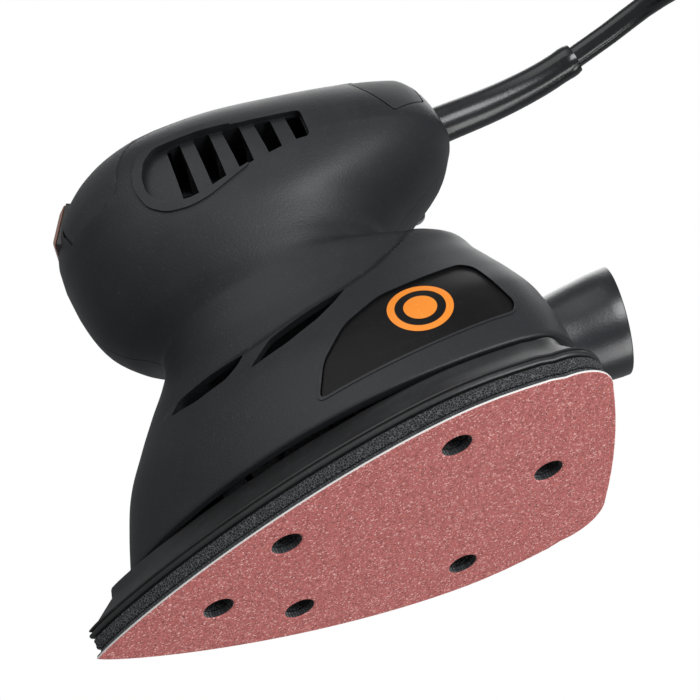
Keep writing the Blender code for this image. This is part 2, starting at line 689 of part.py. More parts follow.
def build_screws():
    zinc = material("zinc_screw", (0.5, 0.5, 0.5), 0.35, 1.0)
    for index, (y, z) in enumerate(HOUSING_SCREWS, 1):
        seat = -(flank(y, z) - 4.0) - GAP
        screw = rod(f"housing_screw_{index}", 3.3, seat - 2.2, seat, (y, z), "X", 14)
        join(screw, rod("shank", 1.5, seat - 1, thread_reach(y, z) - 2, (y, z), "X", 10))
        cut(screw, rod("drive", 1.3, seat - 4, seat - 0.9, (y, z), "X", 6))
        finish(screw, zinc, smooth=False)
    for name, x in (("clamp_screw_1", -9.0), ("clamp_screw_2", 9.0)):
        screw = rod(name, 2.8, 120.6, 122.4, (x, 43), sides=12)
        finish(join(screw, rod("shank", 1.5, 105.0, 121.0, (x, 43), sides=10)), zinc, smooth=False)


def smooth_route(points, spacing):
    """Points at even spacing along a smooth curve through hand-placed ones."""
    knots = [Vector(p) for p in points]
    ends = [2 * knots[0] - knots[1]] + knots + [2 * knots[-1] - knots[-2]]
    fine = []
    for p0, p1, p2, p3 in zip(ends, ends[1:], ends[2:], ends[3:]):
        for step in range(24):
            t = step / 24
            fine.append(0.5 * (2 * p1 + (p2 - p0) * t + (2 * p0 - 5 * p1 + 4 * p2 - p3) * t * t
                               + (3 * p1 - p0 - 3 * p2 + p3) * t**3))
    fine.append(knots[-1])
    lengths = np.concatenate([[0.0], np.cumsum([(b - a).length for a, b in zip(fine, fine[1:])])])
    count = max(2, round(lengths[-1] / spacing))
    wanted = np.linspace(0.0, lengths[-1], count + 1)
    table = np.array([tuple(p) for p in fine])
    return [tuple(float(np.interp(w, lengths, table[:, axis])) for axis in range(3)) for w in wanted]


def tube(name, points, radii, resolution):
    """A filled tube along points given in mm."""
    curve = bpy.data.curves.new(name, "CURVE")
    curve.dimensions = "3D"
    curve.bevel_depth = MM
    curve.bevel_resolution = resolution
    curve.use_fill_caps = True
    curve.resolution_u = 1
    spline = curve.splines.new("POLY")
    spline.points.add(len(points) - 1)
    for slot, point, radius in zip(spline.points, points, radii):
        slot.co = (*(Vector(point) * MM), 1.0)
        slot.radius = radius
    made = bpy.data.objects.new(name, curve)
    bpy.context.scene.collection.objects.link(made)
    return made


def build_lead():
    """Strain relief, lead, the coil of spare lead and its plug."""
    rubber = material("lead", (0.012, 0.012, 0.013), 0.35)
    inside = [(0.0, 38.0, LEAD_Z), (0.0, 49.5, LEAD_Z), (0.0, 50.0, LEAD_Z), (0.0, 54.0, LEAD_Z)]
    collar = [(0.0, 54.3, LEAD_Z), (0.0, 57.0, LEAD_Z), (0.0, 57.3, LEAD_Z)]
    sleeve = smooth_route(((0.0, 64.0, LEAD_Z), (0.4, 80.0, 113.5), (2.0, 94.0, 114.0), RELIEF_END), 5.0)
    radii = [3.2, 3.2, 4.8, 4.8, 7.2, 7.2, 5.4] + list(np.linspace(5.4, 4.4, len(sleeve)))
    finish_curve(tube("strain_relief", inside + collar + sleeve, radii, 2), rubber)
    route = [Vector(p) for p in smooth_route(LEAD_ROUTE, LEAD_RADIUS * 4.2)]
    route[0] += (route[1] - route[0]).normalized() * 0.8
    finish_curve(tube("cord", route, [LEAD_RADIUS] * len(route), 2), rubber)
    flat = COIL_HALF_WIDTH
    angles = [math.radians(a) for a in range(0, 360, 30)]
    section = [(COIL_RADIUS + flat * square(math.cos(a)), COIL_Z + COIL_HEIGHT / 2 * square(math.sin(a)))
               for a in angles]
    finish(turned("cord_coil", section, 28, COIL_CENTRE), rubber)
    build_tie()
    build_plug()


def finish_curve(item, look):
    item.data.materials.append(look)


def square(share):
    """Push a circle's share toward a rounded square."""
    return math.copysign(abs(share) ** 0.6, share) if abs(share) > 1e-9 else 0.0


def build_tie():
    """Hook and loop strap round the far side of the coil."""
    centre = COIL_CENTRE[0] - COIL_RADIUS
    across = COIL_HALF_WIDTH + 1.5
    high = COIL_HEIGHT / 2 + GAP + 0.3
    angles = [math.radians(a) for a in range(0, 360, 30)]
    inner = [(centre + across * square(math.cos(a)), COIL_Z + high * square(math.sin(a))) for a in angles]
    outer = [(centre + (across + 0.9) * square(math.cos(a)), COIL_Z + (high + 0.9) * square(math.sin(a)))
             for a in angles]
    band = prism("cord_tie", outer, COIL_CENTRE[1] - 8, COIL_CENTRE[1] + 8, "Y")
    cut(band, prism("eye", inner, COIL_CENTRE[1] - 12, COIL_CENTRE[1] + 12, "Y"))
    finish(band, material("cord_tie", (0.03, 0.03, 0.032), 0.85), smooth=False)


def build_plug():
    """Plain two-blade plug lying on the coil, its blades toward -X."""
    x, y, z = PLUG_CENTRE
    spans = ((-15, 4.6, 4.6), (-6, 6.4, 6.0), (-2, 10.5, 7.2), (6, 11.5, 7.6), (8, 10.8, 7.0))
    rings = []
    for along, half_width, half_height in spans:
        outline = [(half_width * math.cos(a), half_height * math.sin(a)) for a in np.radians(range(0, 360, 30))]
        rings.append([(x + a, y + along, z + b) for a, b in outline])
    plug = loft("plug_body", rings)
    turn(plug, math.pi / 2, "Z", PLUG_CENTRE)
    finish(plug, material("plug_body", (0.014, 0.014, 0.015), 0.4))
    brass = material("plug_blade", (0.62, 0.55, 0.4), 0.3, 1.0)
    for name, offset in (("plug_blade_1", -6.35), ("plug_blade_2", 6.35)):
        blade = box(name, (x + offset - 0.75, y + 8 + GAP, z - 3.1), (x + offset + 0.75, y + 24, z + 3.1))
        turn(blade, math.pi / 2, "Z", PLUG_CENTRE)
        finish(blade, brass, smooth=False)


def build_rear_fittings():
    """Dust outlet and the clamp that holds the lead."""
    profile = (
        (14.6, PORT_END_Y + 2), (14.3, PORT_END_Y - 7), (13.0, 60.5), (13.0, 50.0), (11.4, 50.0), (11.6, 62.0),
        (13.0, PORT_END_Y + 2),
    )
    port = turned("dust_port", profile, 28)
    turn(port, -math.pi / 2, "X")
    move(port, (0, 0, PORT_Z))
    beyond = box("beyond", (-30, PORT_END_Y, -60), (30, PORT_END_Y + 30, 60))
    turn(beyond, -math.atan2(PORT_SLANT, 29.2), "X", (0.0, PORT_END_Y, 14.6))
    move(beyond, (0, 0, PORT_Z))
    cut(port, beyond)
    finish(port, material("dust_port", (0.014, 0.014, 0.015), 0.25))
    clamp = box("cord_clamp", (-12.5, 40.0, 116.9), (12.5, 46.0, 120.3))
    for x in (-9.0, 9.0):
        cut(clamp, rod("hole", 1.8, 110, 130, (x, 43), sides=10))
    finish(clamp, material("cord_clamp", (0.02, 0.02, 0.02), 0.6), smooth=False)


def place_pivots():
    """Put each moving piece's origin on its joint's axis."""
    rotor = ("shaft", "armature_core", "armature_winding_lower", "armature_winding_upper", "commutator", "fan")
    pivots = {name: (0.0, 0.0, 60.0) for name in rotor + ("eccentric",)}
    pad = ("platen", "foam_pad", "hook_face", "sanding_sheet", "bearing_pad", "pad_screw")
    pivots.update({name: (0.0, ORBIT, 10.0) for name in pad})
    pivots["switch_rocker"] = rocker_pivot()
    for name, pivot in pivots.items():
        item = bpy.data.objects[name]
        item.data.transform(Matrix.Translation(-Vector(pivot) * MM))
        item.location = Vector(pivot) * MM


def rocker_pivot():
    """Rocker axle, a little under the switch's face."""
    depth = -2.0
    x, y, z = SWITCH_CENTRE
    return (x, y - depth * math.cos(SWITCH_TILT), z + depth * math.sin(SWITCH_TILT))


def build():
    clear_scene()
    build_housing()
    build_inlays()
    build_switch()
    build_pad()
    build_motor()
    build_screws()
    build_lead()
    build_rear_fittings()
    place_pivots()


build()
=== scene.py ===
import math

import bmesh
import bpy
import numpy as np
from mathutils import Euler, Matrix, Vector


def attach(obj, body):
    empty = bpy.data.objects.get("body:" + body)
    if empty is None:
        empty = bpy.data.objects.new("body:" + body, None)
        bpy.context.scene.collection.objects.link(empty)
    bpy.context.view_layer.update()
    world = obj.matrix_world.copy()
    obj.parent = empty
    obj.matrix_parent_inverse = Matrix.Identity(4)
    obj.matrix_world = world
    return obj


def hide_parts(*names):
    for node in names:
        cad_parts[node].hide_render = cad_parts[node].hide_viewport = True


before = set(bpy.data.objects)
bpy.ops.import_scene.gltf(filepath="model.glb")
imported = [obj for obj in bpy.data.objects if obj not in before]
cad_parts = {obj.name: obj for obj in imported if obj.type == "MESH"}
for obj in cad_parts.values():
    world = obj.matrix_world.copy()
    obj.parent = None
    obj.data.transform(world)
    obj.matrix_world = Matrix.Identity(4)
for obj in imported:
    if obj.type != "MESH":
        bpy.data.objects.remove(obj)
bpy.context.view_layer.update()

bl_info = {
    "name": "Detail Mouse Sander",
    "version": (1, 0, 0),
    "blender": (4, 5, 0),
    "location": "View3D > Sidebar > Sander",
    "description": "Builds the outer pieces and finishes of a corded detail mouse sander",
    "category": "Object",
}

MM = 0.001
GAP = 0.3

# Housing: height, front, rear, half width, widest place, front power, nose power, tail taper, tail power
SECTIONS = (
    (17.5, -65.0, 59.8, 38.0, 18.0, 2.1, 1.25, 0.14, 7.0),
    (28.0, -61.5, 60.0, 36.8, 18.0, 2.1, 1.35, 0.16, 7.0),
    (38.0, -57.5, 59.5, 34.8, 18.0, 2.1, 1.45, 0.18, 7.0),
    (48.0, -51.0, 57.5, 31.0, 16.0, 2.1, 1.60, 0.20, 6.5),
    (56.0, -45.0, 55.0, 28.0, 13.0, 2.1, 1.80, 0.22, 6.0),
    (63.0, -39.5, 52.5, 26.2, 9.0, 2.1, 1.90, 0.24, 5.5),
    (68.0, -36.5, 51.2, 25.5, 5.0, 2.1, 2.00, 0.20, 4.5),
    (71.5, -35.8, 46.0, 25.4, 3.0, 2.1, 2.00, 0.18, 3.4),
    (74.5, -38.0, 33.8, 25.8, 1.0, 2.1, 2.00, 0.14, 2.5),
    (79.0, -44.0, 32.5, 27.2, -2.0, 2.1, 2.00, 0.16, 2.5),
    (86.0, -48.6, 38.8, 29.4, -5.0, 2.1, 2.00, 0.26, 2.9),
    (93.0, -50.3, 49.5, 31.2, -7.0, 2.1, 2.00, 0.34, 4.5),
    (99.0, -51.0, 58.0, 32.0, -8.0, 2.1, 2.00, 0.42, 6.5),
    (106.0, -51.3, 63.0, 32.4, -8.0, 2.1, 2.00, 0.44, 8.0),
)
SKIRT_BOTTOM = 17.5
WALL = 2.8
SKIN = 1.3
CROWN_BOTTOM = 106.0
CROWN_POWER = 2.3
CROWN_SPINE = (-18.0, 55.0)
TOP_LINE = ((-60.0, 130.5), (-30.0, 135.0), (-5.0, 135.8), (25.0, 132.2), (48.0, 129.6), (66.0, 128.8))
CROWN_SPREADS = (
    0.985, 0.96, 0.93, 0.89, 0.84, 0.78, 0.71, 0.63, 0.54, 0.45, 0.36, 0.27, 0.18, 0.1, 0.04, 0.0,
)
AROUND = 176
LEVEL_SPANS = ((19.5, 45.0, 1.5), (45.0, 82.0, 0.8), (82.0, CROWN_BOTTOM + 0.1, 1.5))
SKIRT_ROUNDING = ((17.5, 0.7), (17.65, 0.35), (17.95, 0.1), (18.4, 0.0))

# Crease where the neck meets the shoulder of the base, as (y, z), and how far the neck steps in above it
CREASE = (
    (-44, 48.5), (-38, 50.2), (-19.5, 50.6), (-11.5, 51.4), (10.5, 55.6), (20, 59.0), (30, 65.0), (36, 70.5),
)
CREASE_FADE = ((-46, 0.0), (-38, 0.55), (6, 0.55), (18, 1.0), (33, 1.0), (42, 0.0))
CREASE_DEPTH = 1.5
CREASE_REACH = 10.0

# Inside the housing: webs as (bottom, top, front, rear), upright bores as (name, radius, bottom, top)
WEBS = ((55, 60, -70, 70), (74, 77, -30, 30), (111, 117.5, -13, 13), (104, 109.6, 38, 48))
BORES = (("lower bearing", 11.3, 50, 65), ("stator", 21.7, 69, 82), ("upper bearing", 9.8, 106, 122))
INNER_INSET = 1.2
HOUSING_SCREWS = ((-38.0, 96.0), (-30.0, 64.0), (43.0, 60.0), (48.0, 99.0))
SCREW_BOSS_RADIUS = 4.0
SCREW_SINK = 4.0
SCREW_SHANK_CLEARANCE = 2.0
SCREW_HEAD = ((0.01, 0.0), (3.3, 0.0), (3.3, 1.1), (3.05, 1.7), (2.4, 2.15), (0.01, 2.35))
POSTS = ((24.0, 32.0), (-24.0, 32.0), (14.0, -34.0), (-14.0, -34.0))
POST_BOSS_RADIUS = 5.0
POST_BOSS_Z = (30.0, 56.0)

# Openings, recesses and inlays
FLANK_FAR = 46.0
VENT_DEPTH = 1.8
VENT = (
    (-17.4, 116.5), (-21.3, 113.5), (-23.4, 109), (-24, 103.8), (-21.8, 99.7), (-18.8, 97.6), (-14.5, 96.4),
    (-10, 96.8), (3.8, 100.4), (18.4, 103.4), (22.2, 103.4), (23.0, 113.2), (9.4, 114.6), (-4.2, 116.4),
)
VENT_RING = (
    (2.0, 118.2), (-8.0, 119.3), (-16.4, 119.2), (-21.8, 117.4), (-25.2, 112.2), (-26.5, 106.0),
    (-25.3, 99.6), (-21.2, 95.6), (-15.3, 94.2), (-9.6, 94.8), (-2.0, 97.6), (4.0, 100.0), (4.0, 104.0),
    (4.0, 116.0),
)
VENT_SLOTS = (
    ((-15.8, 97.0), (-11.4, 97.1), (-10.3, 116.0), (-14.2, 115.6)),
    ((-7.3, 98.2), (-2.9, 99.3), (-2.0, 116.0), (-6.6, 116.3)),
    ((1.3, 100.3), (5.6, 101.3), (6.2, 115.0), (1.3, 115.6)),
    ((10.2, 102.3), (14.2, 103.3), (14.6, 113.9), (10.0, 114.4)),
    ((18.5, 103.8), (21.9, 103.9), (22.6, 113.0), (18.6, 113.5)),
)
INTAKES = (
    ((-41, 47.4), (-36.5, 50.6), (-28, 50.9), (-18.6, 50.0), (-21.5, 47.6), (-25.5, 45.6), (-34, 45.4)),
    ((-19.3, 44.0), (-15.5, 47.0), (-11.5, 50.0), (-1.0, 52.6), (11.5, 55.2), (6.5, 51.6), (1.0, 48.6),
     (-8.5, 45.6)),
)
LABEL_DEPTH = 0.5
LABEL = ((-8, 24), (-3, 33.5), (6, 42), (17, 47), (40, 49), (42.8, 46.5), (46, 30), (44.3, 27))
GRIP = (
    (12, -38.5), (12.8, -46.6), (16.5, -45.2), (19.4, -42.3), (21.7, -39.8), (24.9, -35.3), (27.2, -30.6),
    (27.6, -29.2), (27, -27.4), (26.2, -25.1), (24.1, -21), (22.6, -12), (21.4, 2), (19.4, 22), (17.2, 43),
)
GRIP_RIDGES = (-21.0, -9.5, 2.0, 13.5)
RIDGE_HALF_WIDTH = 17.0
RIDGE_LENGTH = 5.5
RIDGE_STEPS = ((0.0, 0.75), (0.45, 1.05), (0.9, 1.2))
TAIL_INLAY = (
    (39.0, 140), (39.9, 126), (42.2, 118.5), (47.9, 107.3), (58.3, 112.6), (58.6, 120), (57.4, 140),
)
BADGE = (24.5, 38.0)
BADGE_RINGS = ((8.3, 6.4), (4.2, 0.0))

SWITCH_CENTRE = (0.0, -45.4, 119.8)
SWITCH_TILT = math.radians(30.0)

# Sanding pad
SHEET_LENGTH = 140.0
SHEET_WIDTH = 89.0
NOSE_Y = -80.0
TAIL_Y = 60.0
SHEET_TOP = 0.9
PAPER_TOP = 0.51
HOOK_TOP = 1.9
FOAM_TOP = 5.4
RIM_TOP = 8.2
PLATEN_TOP = 15.2
DUST_HOLE_RADIUS = 4.0
DUST_HOLES = ((0.0, -48.3), (17.6, -28.4), (-17.6, -28.4), (30.7, 16.8), (-30.7, 16.8), (0.0, 41.3))
ORBIT = 0.9
BEARING_RADIUS = 11.0

# Rear fittings and the lead
PORT_Z = 33.0
PORT_END_Y = 80.0
PORT_SLANT = 5.0
LEAD_Z = 113.4
LEAD_RADIUS = 3.25
RELIEF_END = (5.0, 106.0, 114.8)
LEAD_ROUTE = (
    (5.0, 106.0, 114.8), (9.0, 117.5, 115.6), (15.5, 129.5, 115.4), (25.0, 139.0, 110.0), (35.0, 144.5, 96.0),
    (41.5, 146.0, 75.0), (43.0, 146.0, 50.0), (40.5, 147.8, 29.0), (33.5, 155.0, 12.5), (25.3, 164.4, 5.4),
)
COIL_CENTRE = (-26.0, 158.0)
COIL_RADII = (43.2, 36.5, 29.8)
COIL_LOW = 4.75
COIL_PITCH = 7.2
COIL_START = 41.0
COIL_TURN = 703.0
TIE_X = -62.5
PLUG_CENTRE = (-42.0, 194.5, 30.4)

VIEW_TURN = (124.605, 23.340, 94.180)
VIEW_PLACE = (0.46205, -0.08013, -0.23256)
VIEW_LENS = 108.0
SENSOR_WIDTH = 36.0
LIGHT_AIM = (0.0, 0.0, 0.07)
# Lights as name, place right, above and in front of the view, size, power and colour
LIGHTS = (
    ("key_light", (0.5, 0.45, 0.72), 0.5, 9.0, (0.95, 0.975, 1.0)),
    ("fill_light", (-0.4, 0.8, 0.4), 0.8, 3.0, (1.0, 1.0, 1.0)),
    ("sole_light", (0.75, -0.6, 0.4), 0.6, 6.5, (1.0, 1.0, 1.0)),
    ("back_light", (0.1, 0.6, -0.9), 0.8, 5.0, (1.0, 1.0, 1.0)),
)
AMBIENT_COLOUR = (0.95, 0.97, 1.0, 1.0)
AMBIENT_STRENGTH = 0.3
BACKGROUND_COLOUR = (1.0, 1.0, 1.0, 1.0)
BACKGROUND_STRENGTH = 1.0
BENCH_HALF = 3.0
BENCH_Z = -0.0004


# ---------------------------------------------------------------- settings

def colour_setting(name, description, default):
    return bpy.props.FloatVectorProperty(
        name=name, description=description, subtype="COLOR", size=3, min=0.0, max=1.0, default=default)


class SanderColours(bpy.types.PropertyGroup):
    """Colours and wear that a user may change before building."""

    housing: colour_setting("Housing", "Moulded housing plastic", (0.0125, 0.0130, 0.0148))
    rubber: colour_setting("Rubber", "Grip strip and tail inlay", (0.0105, 0.0108, 0.012))
    grit: colour_setting("Grit", "Abrasive face of the sanding sheet", (0.43, 0.125, 0.115))
    badge: colour_setting("Badge", "Printed rings on the label plates", (0.93, 0.27, 0.015))
    boot: colour_setting("Switch boot", "Clear amber dust boot", (0.62, 0.30, 0.20))
    # Wear lightens sharp edges: partly rubbed wear, partly a painted highlight.
    wear: bpy.props.FloatProperty(
        name="Wear", description="How far edges are rubbed lighter", subtype="FACTOR",
        min=0.0, max=1.0, default=0.35)


class SanderSizes(bpy.types.PropertyGroup):
    """Small sizes that a user may change before building."""

    groove: bpy.props.FloatProperty(
        name="Inlay groove", description="Gap round the rubber inlays", subtype="DISTANCE", unit="LENGTH",
        min=0.0001, max=0.001, default=0.00045)
    rim: bpy.props.FloatProperty(
        name="Rim height", description="How far the rims round the vent and the label stand proud",
        subtype="DISTANCE", unit="LENGTH", min=0.0, max=0.001, default=0.0004)
    lead_width: bpy.props.FloatProperty(
        name="Lead diameter", description="Outside diameter of the mains lead", subtype="DISTANCE",
        unit="LENGTH", min=0.004, max=0.009, default=LEAD_RADIUS * 2 * MM)


# ---------------------------------------------------------------- mesh tools

def new_object(name, data):
    made = bpy.data.objects.new(name, data)
    bpy.context.scene.collection.objects.link(made)
    return made


def tidy(item, merge=0.000004):
    """Weld doubled points and turn every face outward."""
    bm = bmesh.new()
    bm.from_mesh(item.data)
    bmesh.ops.remove_doubles(bm, verts=bm.verts, dist=merge)
    bmesh.ops.dissolve_degenerate(bm, edges=bm.edges, dist=merge / 2)
    bmesh.ops.recalc_face_normals(bm, faces=bm.faces)
    if bm.calc_volume(signed=True) < 0:
        bmesh.ops.reverse_faces(bm, faces=bm.faces)
    bm.to_mesh(item.data)
    bm.free()
    return item


def loft(name, rings, caps=(True, True), loop=False):
    """A skin over rings of points in mm; loop joins the last ring to the first."""
    count = len(rings[0])
    points = [tuple(c * MM for c in point) for ring in rings for point in ring]
    faces = []
    spans = len(rings) if loop else len(rings) - 1
    for low in range(spans):
        high = (low + 1) % len(rings)
        for index in range(count):
            after = (index + 1) % count
            faces.append((
                low * count + index, low * count + after, high * count + after, high * count + index))
    if caps[0] and not loop:
        faces.append(tuple(range(count)))
    if caps[1] and not loop:
        faces.append(tuple(range((len(rings) - 1) * count, len(rings) * count)))
    mesh = bpy.data.meshes.new(name)
    mesh.from_pydata(points, [], faces)
    return tidy(new_object(name, mesh), 0.00001)


def prism(name, outline, low, high, axis="Z"):
    """An outline in mm pulled from low to high along one axis."""
    def place(a, b, along):
        return {"Z": (a, b, along), "X": (along, a, b), "Y": (a, along, b)}[axis]

    return loft(name, [[place(a, b, along) for a, b in outline] for along in (low, high)])


def box(name, low, high):
    outline = ((low[0], low[1]), (high[0], low[1]), (high[0], high[1]), (low[0], high[1]))
    return prism(name, outline, low[2], high[2])


def circle(radius, sides, centre=(0.0, 0.0)):
    angles = [2 * math.pi * (step + 0.31) / sides for step in range(sides)]
    return [(centre[0] + radius * math.cos(a), centre[1] + radius * math.sin(a)) for a in angles]


def rod(name, radius, low, high, centre=(0.0, 0.0), axis="Z", sides=48):
    return prism(name, circle(radius, sides, centre), low, high, axis)


def turned(name, profile, sides):
    """A closed (radius, height) profile turned about a vertical axis."""
    rings = []
    for step in range(sides):
        angle = 2 * math.pi * step / sides
        rings.append([(r * math.cos(angle), r * math.sin(angle), z) for r, z in profile])
    return loft(name, rings, loop=True)


def transform(item, matrix):
    item.data.transform(matrix)
    return item


def turn(item, angle, axis, pivot=(0.0, 0.0, 0.0)):
    place = Matrix.Translation(Vector(pivot) * MM)
    return transform(item, place @ Matrix.Rotation(angle, 4, axis) @ place.inverted())


def move(item, offset):
    return transform(item, Matrix.Translation(Vector(offset) * MM))


def bake(item):
    """Replace an object's mesh with the result of its modifiers."""
    graph = bpy.context.evaluated_depsgraph_get()
    result = bpy.data.meshes.new_from_object(item.evaluated_get(graph))
    item.modifiers.clear()
    item.data = result


def combine(item, other, how):
    """Boolean one solid with another and throw the other away."""
    before = item.data.copy()
    for solver in ("MANIFOLD", "EXACT"):
        tool = item.modifiers.new(how, "BOOLEAN")
        tool.operation = how
        tool.solver = solver
        tool.object = other
        bake(item)
        if len(item.data.polygons) > 0 and len(item.data.vertices) > 3:
            break
        item.data = before.copy()
    else:
        raise RuntimeError(f"{item.name}: {how} left nothing")
    bpy.data.objects.remove(other, do_unlink=True)
    return item


def cut(item, *others):
    for other in others:
        combine(item, other, "DIFFERENCE")
    return item


def join(item, *others):
    for other in others:
        combine(item, other, "UNION")
    return item


def keep(item, other):
    return combine(item, other, "INTERSECT")


def rounded(outline, radius, steps=5):
    """An outline with its corners eased by short curves."""
    points = [Vector(p) for p in outline]
    eased = []
    for before, here, after in zip(points[-1:] + points, points, points[1:] + points[:1]):
        reach = min(radius, (before - here).length * 0.45, (after - here).length * 0.45)
        start = here + (before - here).normalized() * reach
        end = here + (after - here).normalized() * reach
        for step in range(steps + 1):
            t = step / steps
            eased.append(tuple(start * (1 - t) ** 2 + here * (2 * t * (1 - t)) + end * t * t))
    return eased


def grow(outline, amount):
    """An outline with every edge moved outward by one amount, its corners kept sharp."""
    points = [Vector(point) for point in outline]
    area = sum(p.x * q.y - q.x * p.y for p, q in zip(points, points[1:] + points[:1]))
    outward = amount if area > 0 else -amount
    grown = []
    for before, here, after in zip(points[-1:] + points, points, points[1:] + points[:1]):
        arriving = (here - before).normalized()
        leaving = (after - here).normalized()
        bisector = Vector((arriving.y + leaving.y, -arriving.x - leaving.x)).normalized()
        share = max(0.35, bisector.dot(Vector((arriving.y, -arriving.x))))
        grown.append(tuple(here + bisector * outward / share))
    return grown


def mirrored(outline):
    """A half outline of (x, y) points closed across the middle plane."""
    return list(outline) + [(-x, y) for x, y in reversed(outline) if x > 0]


def smooth_route(points, spacing):
    """Points at even spacing along a smooth curve through given ones."""
    steps = 24
    knots = [Vector(p) for p in points]
    ends = [2 * knots[0] - knots[1]] + knots + [2 * knots[-1] - knots[-2]]
    fine = []
    for p0, p1, p2, p3 in zip(ends, ends[1:], ends[2:], ends[3:]):
        for step in range(steps):
            t = step / steps
            fine.append(0.5 * (2 * p1 + (p2 - p0) * t + (2 * p0 - 5 * p1 + 4 * p2 - p3) * t * t
                               + (3 * p1 - p0 - 3 * p2 + p3) * t**3))
    fine.append(knots[-1])
    lengths = np.concatenate([[0.0], np.cumsum([(b - a).length for a, b in zip(fine, fine[1:])])])
    count = max(2, round(lengths[-1] / spacing))
    wanted = np.linspace(0.0, lengths[-1], count + 1)
    table = np.array([tuple(p) for p in fine])
    return [tuple(float(np.interp(w, lengths, table[:, axis])) for axis in range(3)) for w in wanted]


def sweep(name, points, radii):
    """A round tube of changing radius along points given in mm, with closed ends."""
    path = [Vector(p) for p in points]
    sides = 40
    rings = []
    side = Vector((1, 0, 0))
    for index, (here, radius) in enumerate(zip(path, radii)):
        ahead = path[min(index + 1, len(path) - 1)] - path[max(index - 1, 0)]
        ahead.normalize()
        side = (side - ahead * side.dot(ahead)).normalized()
        up = ahead.cross(side)
        rings.append([
            tuple(here + radius * (side * math.cos(a) + up * math.sin(a)))
            for a in (2 * math.pi * step / sides for step in range(sides))
        ])
    return loft(name, rings)


def settle(item, look, body, nodes=(), angle=32.0):
    """Shade a finished piece, give it its materials and hang it on its body."""
    tidy(item)
    if not any(item.data.materials):
        item.data.materials.clear()
        for one in look if isinstance(look, (list, tuple)) else [look]:
            item.data.materials.append(one)
    for place, held in enumerate(item.data.materials):
        if held is None:
            item.data.materials[place] = item.data.materials[0] or look
    for face in item.data.polygons:
        face.use_smooth = True
    item.data.set_sharp_from_angle(angle=math.radians(angle))
    if nodes:
        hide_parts(*nodes)
    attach(item, body)
    return item


# ---------------------------------------------------------------- housing shape

def monotone(table, column, at):
    """Smooth reading of one column of a table whose first column rises, with no overshoot."""
    places = [row[0] for row in table]
    values = [row[column] for row in table]
    if at <= places[0]:
        return values[0]
    if at >= places[-1]:
        return values[-1]
    slopes = [(b - a) / (q - p) for a, b, p, q in zip(values, values[1:], places, places[1:])]
    tangents = [slopes[0]]
    for before, after in zip(slopes, slopes[1:]):
        flat = before * after <= 0
        tangents.append(0.0 if flat else 2 * before * after / (before + after))
    tangents.append(slopes[-1])
    index = max(step for step in range(len(places) - 1) if places[step] <= at)
    width = places[index + 1] - places[index]
    t = (at - places[index]) / width
    return (
        (2 * t**3 - 3 * t**2 + 1) * values[index]
        + (t**3 - 2 * t**2 + t) * width * tangents[index]
        + (3 * t**2 - 2 * t**3) * values[index + 1]
        + (t**3 - t**2) * width * tangents[index + 1]
    )


TOP_Y = np.linspace(TOP_LINE[0][0], TOP_LINE[-1][0], 190)
TOP_Z = np.array([monotone(TOP_LINE, 1, y) for y in TOP_Y])


def half_outline(height, inset):
    """The +X half of one level of the housing, from the rear to the front at even spacing."""
    front, rear, half, widest, front_power, nose_power, taper, tail_power = (
        monotone(SECTIONS, column, height) for column in range(1, 9))
    front += inset
    rear -= inset
    half -= inset
    angles = np.radians(np.linspace(90, -90, 541))
    reach = np.abs(np.sin(angles))
    tail = half * (1 - taper * reach**2) * np.clip(1 - reach**tail_power, 0, None) ** (1 / 2.6)
    nose = half * np.clip(1 - reach**front_power, 0, None) ** (1 / nose_power)
    behind = angles >= 0
    x = np.where(behind, tail, nose)
    y = np.where(behind, widest + (rear - widest) * reach, widest - (widest - front) * reach)
    x -= neck_step(x, y, height)
    run = np.concatenate([[0.0], np.cumsum(np.hypot(np.diff(x), np.diff(y)))])
    wanted = np.linspace(0.0, run[-1], AROUND // 2 + 1)
    even_x = np.interp(wanted, run, x)
    even_x[[0, -1]] = 0.0
    return even_x, np.interp(wanted, run, y)


def neck_step(x, y, z):
    """How far the neck steps in just above its crease with the base."""
    line = np.interp(y, *zip(*CREASE))
    above = z - line
    ramp = np.clip(above + 0.5, 0.0, 1.0)
    share = np.interp(y, *zip(*CREASE_FADE))
    reach = np.exp(-np.clip(above, 0.0, None) / CREASE_REACH)
    return CREASE_DEPTH * share * ramp * ramp * (3 - 2 * ramp) * reach * np.clip(x / 12.0, 0.0, 1.0)


def full_ring(x, y, z):
    z = np.broadcast_to(z, x.shape)
    half = list(zip(x.tolist(), y.tolist(), z.tolist()))
    return half + [(-a, b, c) for a, b, c in half[-2:0:-1]]


FORMS = {}


def housing_form(name, inset=0.0, bottom=SKIRT_BOTTOM):
    """The housing as one full dense solid, drawn in from its outer face by inset."""
    key = (inset, bottom)
    if key not in FORMS:
        FORMS[key] = housing_loft(inset, bottom)
    return new_object(name, FORMS[key].copy())


def housing_loft(inset, bottom):
    rings = []
    if bottom < SKIRT_BOTTOM:
        rings.append(full_ring(*half_outline(SKIRT_BOTTOM, inset), bottom))
    levels = [(z, inset + ease) for z, ease in SKIRT_ROUNDING] if inset == 0.0 else [(SKIRT_BOTTOM, inset)]
    for span in LEVEL_SPANS:
        levels += [(z, inset) for z in np.arange(*span)]
    for height, depth in levels:
        rings.append(full_ring(*half_outline(float(height), depth), float(height)))
    x, y = half_outline(CROWN_BOTTOM, inset)
    spine = np.clip(y, *CROWN_SPINE)
    for spread in CROWN_SPREADS:
        rise = max(0.0, 1 - spread**CROWN_POWER) ** (1 / CROWN_POWER)
        along = spine + (y - spine) * spread
        top = np.interp(along, TOP_Y, TOP_Z) - inset
        rings.append(full_ring(x * spread, along, CROWN_BOTTOM + (top - CROWN_BOTTOM) * rise))
    made = loft("form", rings, caps=(True, False))
    mesh = made.data.copy()
    bpy.data.objects.remove(made, do_unlink=True)
    return mesh


